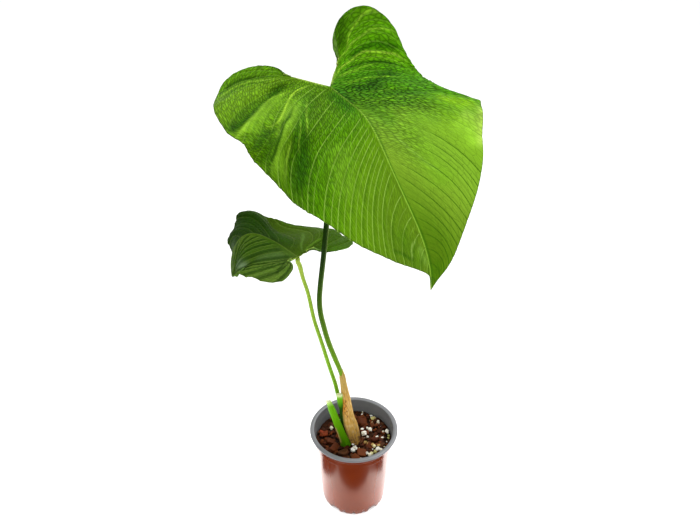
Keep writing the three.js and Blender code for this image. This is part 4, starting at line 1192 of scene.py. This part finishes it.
def build_sheath():
    """Papery leaf sheath, dried to the stalk: creased lengthwise and torn on the left."""
    rings, t, angle, length = tube(
        SHEATH_PATH, SHEATH_RADII, SHEATH_SIDES, SHEATH_STEPS, 1, 0, sheath_creases)

    def drawn_out(steps_up, pitch, seed):
        """Noise over the sheath, which is 5 steps in radius and steps_up steps high."""
        where = np.stack([np.cos(angle) * 5, np.sin(angle) * 5, t * steps_up], -1)
        return noise_at(where.reshape(-1, 3), pitch, seed).reshape(t.shape)

    grains, streaks = drawn_out(30, 1.1, 4), drawn_out(6, 1.3, 9)
    turn = np.angle(np.exp(1j * (angle - np.radians(TEAR[1]))))
    zigzag = 0.7 + 0.25 * np.sin(t * 38 + 2 * np.sin(t * 70))
    cracked = (np.abs(turn - zigzag) < CRACK_WIDTH) & (np.abs(t - CRACK_AT) < CRACK_REACH)
    torn = np.exp(-((t - TEAR[0]) / TEAR_REACH[0]) ** 2 - (turn / TEAR_REACH[1]) ** 2)
    specks = smoothstep(grains, 0.05, 0.3) * (1 - smoothstep(t, 0.14, 0.36))
    colour = to_linear(SHEATH_COLOURS["tan"])
    for tone, share in (("deep", np.clip(0.35 + 0.6 * streaks, 0, 1)),
                        ("pale", np.clip(0.8 * grains, 0, 0.6)),
                        # painted shade: the sheath turns darker olive towards its top
                        ("top", 0.6 * smoothstep(t, 0.66, 0.85)),
                        ("speck", 0.8 * specks),
                        ("torn", np.clip(1.5 * torn, 0, 1)),
                        ("crack", 0.85 * cracked)):
        colour = mix(colour, to_linear(SHEATH_COLOURS[tone]), share)
    return make_mesh("papery_sheath", rings.reshape(-1, 3), ring_faces(SHEATH_STEPS, SHEATH_SIDES),
                     colour.reshape(-1, 3), skin_place(angle, t, length, 6, 8))


def dried_sheath_skin():
    """Dried cataphyll: fibrous, brittle and dull, with raised lengthwise fibres."""
    material, tree, shader = new_material("dried papery sheath", IOR=1.45, Roughness=0.8,
                                          Specular_IOR_Level=0.3)
    fibres = fibres_along(tree, 1.8, 5.0, 0.7)
    pigment = add_node(tree, "ShaderNodeAttribute", attribute_name="pigment")
    dress(tree, shader, tint(tree, pigment, fibres, 0.65, 1.35), relief=(fibres, 0.6, 0.6))
    return material


place(build_sheath(), dried_sheath_skin(), "dry_sheath", "dry_sheath")

# Pot
POT_HEIGHT = 105
RIM_RADIUS = 50
BODY_TOP_RADIUS = 44.9
BASE_RADIUS = 37
POT_WALL = 0.9
COLLAR_HEIGHT = 9
COLLAR_STEP = 0.9
LIP_DROP = 2
POT_SIDES = 200
NOTCH_COUNT = 20
NOTCH_REACH = 4
# half width and height of a drain notch
SMALL_NOTCH = (2.3, 2.6)
LARGE_NOTCH = (6.4, 5.4)
LARGE_NOTCH_EVERY = 4
FIRST_LARGE_NOTCH = 2
CUTTER_SIDES = 32
# stacking ring round the body, below the collar
RING_AT = 88
RING_RISE = 0.15


def turned(name, section, sides, materials):
    """A closed body turned from a section of (radius, height, number of its material)."""
    radius, height, kind = (np.array(column) for column in zip(*section))
    angle = np.linspace(0, 2 * np.pi, sides, endpoint=False)
    points = np.stack([radius[:, None] * np.cos(angle), radius[:, None] * np.sin(angle),
                       np.repeat(height[:, None], sides, axis=1)], axis=-1)
    kinds, faces = [], []
    for i in range(len(section)):
        k = (i + 1) % len(section)
        if radius[i] == 0 and radius[k] == 0:
            continue
        for j in range(sides):
            n = (j + 1) % sides
            ring = [i * sides + j, i * sides + n, k * sides + n, k * sides + j]
            if radius[i] == 0:
                ring = [i * sides, k * sides + n, k * sides + j]
            elif radius[k] == 0:
                ring = [i * sides + j, i * sides + n, k * sides]
            faces.append(ring)
            kinds.append(int(kind[i]))
    made = make_mesh(name, points.reshape(-1, 3), faces)
    for material in materials:
        made.data.materials.append(material)
    made.data.polygons.foreach_set("material_index", kinds)
    face_outwards(made)
    return made


def pot_section():
    """The pot's wall as (radius, height, material): outer layer up, inner layer down. Beside each
    step there is a second point close by, so that smooth shading doesn't bend across it."""
    foot, shelf = POT_HEIGHT - COLLAR_HEIGHT, POT_HEIGHT - POT_WALL
    step, lip_foot = foot - COLLAR_STEP, POT_HEIGHT - LIP_DROP
    collar = BODY_TOP_RADIUS + COLLAR_STEP
    inner = collar - POT_WALL

    def body(z):
        """The wall's outer radius at a height."""
        return BASE_RADIUS + (BODY_TOP_RADIUS - BASE_RADIUS) * (z - 1) / (step - 1)

    outer = [(0, 0), (BASE_RADIUS - 1, 0), (BASE_RADIUS - 0.3, 0.3), (BASE_RADIUS, 1)]
    outer += [(body(z), z) for z in (8, 20, 34, 48, 62, 76, RING_AT - 0.4, RING_AT)]
    outer += [(body(RING_AT) + RING_RISE, RING_AT + 0.4), (body(RING_AT + 1), RING_AT + 0.8)]
    outer += [(body(z), z) for z in (RING_AT + 1.2, step - 0.4)]
    outer += [(BODY_TOP_RADIUS, step), (collar, foot), (collar + 0.02, foot + 0.5),
              (collar + 0.28, shelf - 0.8), (collar + 0.3, shelf - 0.3)]
    lining = [(collar + 0.6, shelf), (RIM_RADIUS - POT_WALL, shelf),
              (RIM_RADIUS - POT_WALL, lip_foot), (RIM_RADIUS - 0.1, lip_foot),
              (RIM_RADIUS, lip_foot + 0.2), (RIM_RADIUS, POT_HEIGHT - 0.7),
              (RIM_RADIUS - 0.25, POT_HEIGHT - 0.2), (RIM_RADIUS - 0.8, POT_HEIGHT),
              (inner + 0.9, POT_HEIGHT), (inner + 0.25, POT_HEIGHT - 0.25),
              (inner, POT_HEIGHT - 0.9), (inner - 0.3, foot + 0.6), (inner - 0.5, foot + 0.2),
              (BODY_TOP_RADIUS - POT_WALL, step)]
    lining += [(body(z) - POT_WALL, z) for z in (76, 50, 24)]
    lining += [(BASE_RADIUS - POT_WALL, POT_WALL + 1), (BASE_RADIUS - POT_WALL - 1, POT_WALL),
               (0, POT_WALL)]
    return [(*point, 0) for point in outer] + [(*point, 1) for point in lining]


def build_pot(materials):
    """Thin nursery pot with a collar, a flat lip and drain notches round its foot."""
    pot = turned("nursery_pot", pot_section(), POT_SIDES, materials)
    points, faces = [], []
    for i in range(NOTCH_COUNT):
        large = i % LARGE_NOTCH_EVERY == FIRST_LARGE_NOTCH
        half_width, height = LARGE_NOTCH if large else SMALL_NOTCH
        turn = 2 * math.pi * i / NOTCH_COUNT
        faces += ring_faces(1, CUTTER_SIDES, len(points))
        for y in (-BASE_RADIUS - NOTCH_REACH, -BASE_RADIUS + NOTCH_REACH):
            for a in np.linspace(0, 2 * np.pi, CUTTER_SIDES, endpoint=False):
                x, z = half_width * math.cos(a), height * math.sin(a)
                points.append((x * math.cos(turn) - y * math.sin(turn),
                               x * math.sin(turn) + y * math.cos(turn), z))
    cutter = make_mesh("notch_cutter", points, faces)
    face_outwards(cutter)
    cut = pot.modifiers.new("drain notches", "BOOLEAN")
    cut.operation, cut.object, cut.solver = "DIFFERENCE", cutter, "EXACT"
    evaluated = pot.evaluated_get(bpy.context.evaluated_depsgraph_get())
    mesh = bpy.data.meshes.new_from_object(evaluated)
    pot.modifiers.clear()
    pot.data = mesh
    bpy.data.objects.remove(cutter)
    return pot


# The cloudiness and the grit of moulded plastic, in mm. Real grit is finer than the render shows.
CLOUD_PITCH = 22.2
GRIT_PITCH = 1.11


def moulded_plastic(name, colour, deep, roughness, bump_strength, gloss_level, gloss_tint):
    """Thermoformed polypropylene: smooth and glossy, slightly cloudy, with a faint ripple."""
    material, tree, shader = new_material(
        name, IOR=1.49, Specular_IOR_Level=gloss_level, Specular_Tint=rgba(gloss_tint))
    cloud = grain(tree, CLOUD_PITCH, 3.0)
    grit = grain(tree, GRIT_PITCH, 2.0)
    clouded = add_node(tree, "ShaderNodeMix", {0: cloud, 6: rgba(deep), 7: rgba(colour)}, **COLOURS)
    gloss = add_node(tree, "ShaderNodeMapRange", {
        "Value": grit, "To Min": roughness - 0.05, "To Max": roughness + 0.05})
    dress(tree, shader, clouded, gloss, (grit, bump_strength, 0.2))
    return material


pot = build_pot([
    moulded_plastic("terracotta moulded polypropylene", colour="#6c2604", deep="#5a1b02",
                    roughness=0.2, bump_strength=0.05, gloss_level=0.65, gloss_tint="#ffd8c0"),
    moulded_plastic("grey moulded polypropylene", colour="#78797c", deep="#67686c",
                    roughness=0.35, bump_strength=0.1, gloss_level=0.5, gloss_tint="#ffffff")])
place(pot, None, "pot_plastic", "pot")

# Potting mix
SOIL_TOP = 88.5
SOIL_ROUGHNESS = 1.4
SOIL_RADIUS = 43.2
SOIL_RINGS = 62
SOIL_SIDES = 150
# how far the mix lies below the chips, and the (grain, rise) of its crumbs
CHIPS_PROUD = 1.2
CRUMBS = ((5, 1), (2.2, 0.8), (1, 0.35))
# (radius, height) of the plug below its top
SOIL_BOTTOM = 1.3
SOIL_SIDE = ((43, 80), (36, 3), (33.5, SOIL_BOTTOM))
SOIL_COLOURS = ("#160b07", "#46230f")


def soil_height(x, y):
    """Height of the chips' bed, which swells and dips."""
    swell = np.sin(x / 9 + 1) * np.cos(y / 7) + 0.5 * np.sin(x / 4 - y / 5)
    return SOIL_TOP + SOIL_ROUGHNESS * swell


def build_soil():
    """Crumbly dark mix: a closed plug that fills the pot, rough on top."""
    sides = SOIL_SIDES
    radius = (SOIL_RADIUS * np.linspace(0, 1, SOIL_RINGS + 1)[1:])[:, None]
    angle = np.linspace(0, 2 * np.pi, sides, endpoint=False)
    x, y = radius * np.cos(angle), radius * np.sin(angle)
    flat = np.stack([x, y, np.zeros_like(x)], -1).reshape(-1, 3)
    crumbs = sum(rise * noise_at(flat, pitch, seed)
                 for seed, (pitch, rise) in enumerate(CRUMBS, start=1))
    # the crumbs are finer beside the pot's wall
    crumbs = crumbs.reshape(x.shape) * (1 - 0.6 * smoothstep(radius, 38, 43))
    top = np.stack([x, y, soil_height(x, y) - CHIPS_PROUD + crumbs], -1).reshape(-1, 3)
    wall = [np.stack([r * np.cos(angle), r * np.sin(angle), np.full(sides, z)], -1)
            for r, z in SOIL_SIDE]
    middles = [[0, 0, soil_height(0, 0) - CHIPS_PROUD], [0, 0, SOIL_BOTTOM]]
    points = np.concatenate([top, *wall, middles])
    rings = SOIL_RINGS - 1 + len(SOIL_SIDE)
    faces = ring_faces(rings, sides, closed=False)
    for j in range(sides):
        n = (j + 1) % sides
        faces.append([len(points) - 2, j, n])
        faces.append([rings * sides + j, rings * sides + n, len(points) - 1])
    tone = np.full(len(points), 0.4)
    tone[:len(top)] = np.clip(0.5 + 0.5 * crumbs.ravel(), 0, 1)
    dark, light = (to_linear(colour) for colour in SOIL_COLOURS)
    made = make_mesh("potting_mix", points, faces, mix(dark, light, tone))
    face_outwards(made)
    return made


def turned_by(spin, tip, lean):
    """The matrix that leans a lump about y, then tips it about x and spins it about z."""
    return np.array(Matrix.Rotation(spin, 3, "Z") @ Matrix.Rotation(tip, 3, "X")
                    @ Matrix.Rotation(lean, 3, "Y"))


# How far lumps lean at random, in radians, and how much they and the spots on them differ in tone
LEANING = 0.25
LUMP_TONES = 0.08
SPOT_TONES = 0.16
SPOT_PITCH = 0.6
SPOT_SEEDS = 37
BALL_DETAIL = 3


def lumps(name, spots, shape_of, colours, seed):
    """Many small solid lumps as one piece. A spot is (x, y, size, height above soil, colour)."""
    random = np.random.default_rng(seed)
    ball = bmesh.new()
    bmesh.ops.create_icosphere(ball, subdivisions=BALL_DETAIL, radius=1)
    sphere = np.array([v.co for v in ball.verts])
    rings = [[v.index for v in f.verts] for f in ball.faces]
    ball.free()
    points, faces, pigment = [], [], []
    for k, (x, y, size, lift, colour) in enumerate(spots):
        local = shape_of(sphere, size, random)
        turn = turned_by(random.uniform(0, 2 * math.pi), random.normal(0, LEANING),
                         random.normal(0, LEANING))
        points.append(local @ turn.T + (x, y, soil_height(x, y) + lift))
        faces += [[k * len(sphere) + i for i in ring] for ring in rings]
        shade = noise_at(sphere, SPOT_PITCH, k % SPOT_SEEDS) * SPOT_TONES
        shade = shade + random.normal(0, LUMP_TONES)
        pigment.append(to_linear(colours[colour]) * (1 + shade)[:, None])
    return make_mesh(name, np.concatenate(points), faces, np.clip(np.concatenate(pigment), 0, 1))


BOXINESS = 0.45


def bark_shape(sphere, size, random):
    """A broken flake of pine bark: boxy, flattish, with worn edges."""
    boxy = np.sign(sphere) * np.abs(sphere) ** BOXINESS
    boxy = boxy / np.max(np.abs(boxy), axis=0)
    scale = size / 2 * np.array([1, random.uniform(0.6, 0.9), random.uniform(0.28, 0.5)])
    wobble = 1 + 0.22 * noise_at(sphere, 0.9, random.uniform(0, 60))[:, None]
    return boxy * scale * wobble


def grain_shape(sphere, size, random):
    """A puffed perlite grain: round, pitted and uneven."""
    scale = size / 2 * np.array([1, random.uniform(0.7, 1), random.uniform(0.6, 0.9)])
    wobble = 1 + 0.35 * noise_at(sphere, 0.7, random.uniform(0, 60))[:, None]
    return sphere * scale * wobble


BARK_COLOURS = ["#5a2a10", "#4a1f0c", "#6b3414", "#3a1a0a", "#7a3010", "#51301a",
                "#a98a50", "#a3a05c", "#8a3418"]
GRAIN_COLOURS = ["#f4f0e4", "#e6dfc8", "#d8cf9e", "#c9c07a", "#b9a878"]
# The ones that can be told apart: x, y, size, and the number of its colour
BARK_SEEN = [(10, 27, 13, 0), (-22, -16, 13, 0), (9, -23, 11, 2), (25, -2, 10, 1),
             (-35, 6, 9, 4), (-12, -24, 12, 5), (-26, -6, 10, 0), (2, -30, 9, 2),
             (17, -12, 8, 0), (-8, -34, 9, 1), (13, -7, 4.5, 6), (17, -10, 5, 6),
             (22, -12, 4.5, 6), (28, -12, 4, 6), (40.5, 4, 3.2, 7), (40, 0.5, 2.8, 7),
             (-37, 8, 6, 8)]
GRAINS_SEEN = [(12, 5, 6.4, 0), (21, 35, 3.4, 0), (23, 30, 5, 3), (25, 30, 4, 4), (29, 22, 3.6, 1),
               (10, 13, 3.8, 0), (19, 12, 5, 0), (16, 14, 3, 0), (16, 1, 3, 0), (39, 9, 5.2, 0),
               (34, 9, 2.6, 1), (27, 1, 3.6, 0), (33, 0, 3.2, 0), (-1, -11, 3, 0), (1, -14, 4.2, 0),
               (-1, -18, 5.4, 0), (3, -16, 4, 0), (-15, 27, 3.4, 0), (-26, 14, 4.6, 1),
               (27, -18, 5.4, 0), (31, -20, 5, 1), (18, -26, 4.4, 1), (15, -24, 3.8, 0),
               (20, -24, 4.2, 2), (23, -14, 5, 2), (24, -22, 4, 3), (29, 24, 2.4, 0)]
# How far these lie above the bed, in mm. Then the rest: how many, the range of their sizes, their
# colours, how far they lie from the pot's middle, and the line that spare grains lie right of.
CHIP_LIFT = 0.5
GRAIN_LIFT = 0.9
CRUMB_COUNT, CRUMB_SIZES, CRUMB_COLOURS = 260, (1.6, 5.5), (0, 1, 2, 3, 5)
SPARE_GRAINS, SPARE_SIZES, SPARE_COLOURS = 46, (0.8, 2.2), (0, 1, 1, 2)
SCATTER_RADIUS = 41
GRAINS_RIGHT_OF = -6


def scattered(count, seed, sizes, choices, lift):
    """Spots at random over the soil, lifted by a share of their size."""
    random = np.random.default_rng(seed)
    spots = []
    for _ in range(count):
        radius = SCATTER_RADIUS * math.sqrt(random.uniform(0, 1))
        angle = random.uniform(0, 2 * math.pi)
        size = random.uniform(*sizes)
        spots.append((radius * math.cos(angle), radius * math.sin(angle), size,
                      lift * size, int(random.choice(choices))))
    return spots


def granular(name, roughness, pitch_mm, strength):
    """A dull mineral or woody grain, pitted as finely as the render can show."""
    material, tree, shader = new_material(name, IOR=1.5, Specular_IOR_Level=0.12)
    pits = grain(tree, pitch_mm, 4.0)
    pigment = add_node(tree, "ShaderNodeAttribute", attribute_name="pigment")
    dull = add_node(tree, "ShaderNodeMapRange", {
        "Value": pits, "To Min": roughness - 0.1, "To Max": roughness + 0.1})
    dress(tree, shader, tint(tree, pigment, pits, 0.7, 1.3), dull, (pits, strength, 0.5))
    return material


damp_mix = granular("damp peat and coir", roughness=0.85, pitch_mm=1.2, strength=0.8)
place(build_soil(), damp_mix, "potting_soil", "soil")
bark_spots = [(x, y, size, CHIP_LIFT, colour) for x, y, size, colour in BARK_SEEN]
bark_spots += scattered(CRUMB_COUNT, 31, CRUMB_SIZES, CRUMB_COLOURS, lift=0.05)
place(lumps("bark_chips", bark_spots, bark_shape, BARK_COLOURS, seed=5),
      granular("pine bark chips", roughness=0.62, pitch_mm=1.5, strength=0.6), "potting_soil")
grain_spots = [(x, y, size, GRAIN_LIFT, colour) for x, y, size, colour in GRAINS_SEEN]
spare_spots = scattered(SPARE_GRAINS, 77, SPARE_SIZES, SPARE_COLOURS, lift=0.4)
grain_spots += [spot for spot in spare_spots if spot[0] > GRAINS_RIGHT_OF]
place(lumps("perlite_grains", grain_spots, grain_shape, GRAIN_COLOURS, seed=9),
      granular("puffed perlite", roughness=0.8, pitch_mm=0.9, strength=0.5), "potting_soil")


# Stem and roots: hidden in the mix, so the solid stays
def corky_root():
    """Corky stem skin: grey-brown, rough and fibrous."""
    material, tree, shader = new_material("corky stem and root skin", IOR=1.5, Roughness=0.85)
    cork = grain(tree, pitch_mm=2.5, detail=5.0)
    share = add_node(tree, "ShaderNodeMapRange", {"Value": cork, "From Min": 0.3, "From Max": 0.7})
    brown = add_node(tree, "ShaderNodeMix", {
        0: share, 6: rgba("#5d4a2c"), 7: rgba("#a48c5c")}, **COLOURS)
    dress(tree, shader, brown, relief=(cork, 0.6, 0.6))
    return material


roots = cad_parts["stem_with_roots"]
roots.data.materials.clear()
roots.data.materials.append(corky_root())


# Stage
def matt_sheet(name, low, high, pitch_mm, roughness, gloss_level):
    """Matt sheet whose tone varies a little with its fibres, drawn coarse enough to show."""
    material, tree, shader = new_material(name, Roughness=roughness, Specular_IOR_Level=gloss_level)
    fibre = grain(tree, pitch_mm, 3.0)
    dress(tree, shader, add_node(tree, "ShaderNodeMix", {
        0: fibre, 6: rgba(low), 7: rgba(high)}, **COLOURS))
    return material


def lay_sheet(name, outline, height, material):
    """One flat sheet of the stage."""
    sheet = make_mesh(name, [(x, y, height) for x, y in outline], [list(range(len(outline)))])
    sheet.data.materials.append(material)
    return sheet


FLOOR_HALF = 12000
FLOOR_EDGE = ((-FLOOR_HALF, -FLOOR_HALF), (FLOOR_HALF, -FLOOR_HALF), (FLOOR_HALF, FLOOR_HALF),
              (-FLOOR_HALF, FLOOR_HALF))
CARD_EDGE = ((-150, -260), (150, -260), (150, -8), (76, -8), (71, -42), (60, -67),
             (-60, -67), (-65, -45), (-69, -20), (-71, 6), (-150, 6))
CARD_HEIGHT = 2

paper = matt_sheet("white seamless paper", low="#fafafa", high="#ffffff", pitch_mm=3.33,
                   roughness=0.9, gloss_level=0.2)
felt = matt_sheet("black felt card", low="#050505", high="#101010", pitch_mm=2, roughness=0.95,
                  gloss_level=0.1)
lay_sheet("floor", FLOOR_EDGE, 0, paper)
# the card lies in front of the pot, and only the gloss of the pot shows it, as a dark middle: a
# painted dark reflection that stands in for shade, which the camera can't see and which throws no
# shadow
card = lay_sheet("dark_reflection_card", CARD_EDGE, CARD_HEIGHT, felt)
card.visible_camera = card.visible_diffuse = card.visible_shadow = False


def soft_box(name, place_mm, aim_mm, width_mm, height_mm, watts):
    """A rectangular light that faces aim_mm."""
    light = bpy.data.lights.new(name, "AREA")
    light.shape, light.size, light.size_y = "RECTANGLE", width_mm * MM, height_mm * MM
    light.energy = watts
    made = bpy.data.objects.new(name, light)
    bpy.context.scene.collection.objects.link(made)
    made.location = Vector(place_mm) * MM
    made.rotation_euler = (Vector(aim_mm) - Vector(place_mm)).to_track_quat("-Z", "Y").to_euler()


# two low boxes light the floor on either side of the pot, which its glossy sides reflect
for side, x in (("left", -190), ("right", 190)):
    soft_box(side + " floor box", (x, -40, 60), (x, -40, 0), width_mm=220, height_mm=300,
             watts=1.05)
soft_box("high soft box", (450, 800, 1500), (0, 0, 450), width_mm=600, height_mm=600, watts=12)

ROOM_LIGHT = 1.04
world = bpy.data.worlds.new("studio")
world.use_nodes = True
background = world.node_tree.nodes["Background"]
background.inputs["Color"].default_value = (1, 1, 1, 1)
background.inputs["Strength"].default_value = ROOM_LIGHT
bpy.context.scene.world = world
bpy.context.scene.view_settings.view_transform = "Standard"

CAMERA_PLACE = (-4.3, -589.8, 718.5)
CAMERA_DOWN = 33.31
LENS_MM = 37.44
SENSOR_MM = 36
CLIP = (0.05, 60)
camera = bpy.data.objects.new("camera", bpy.data.cameras.new("camera"))
camera.data.lens = LENS_MM
camera.data.sensor_width = SENSOR_MM
camera.data.sensor_fit = "HORIZONTAL"
camera.data.clip_start, camera.data.clip_end = CLIP
camera.location = Vector(CAMERA_PLACE) * MM
camera.rotation_euler = (math.radians(90 - CAMERA_DOWN), 0, 0)
bpy.context.scene.collection.objects.link(camera)
bpy.context.scene.camera = camera
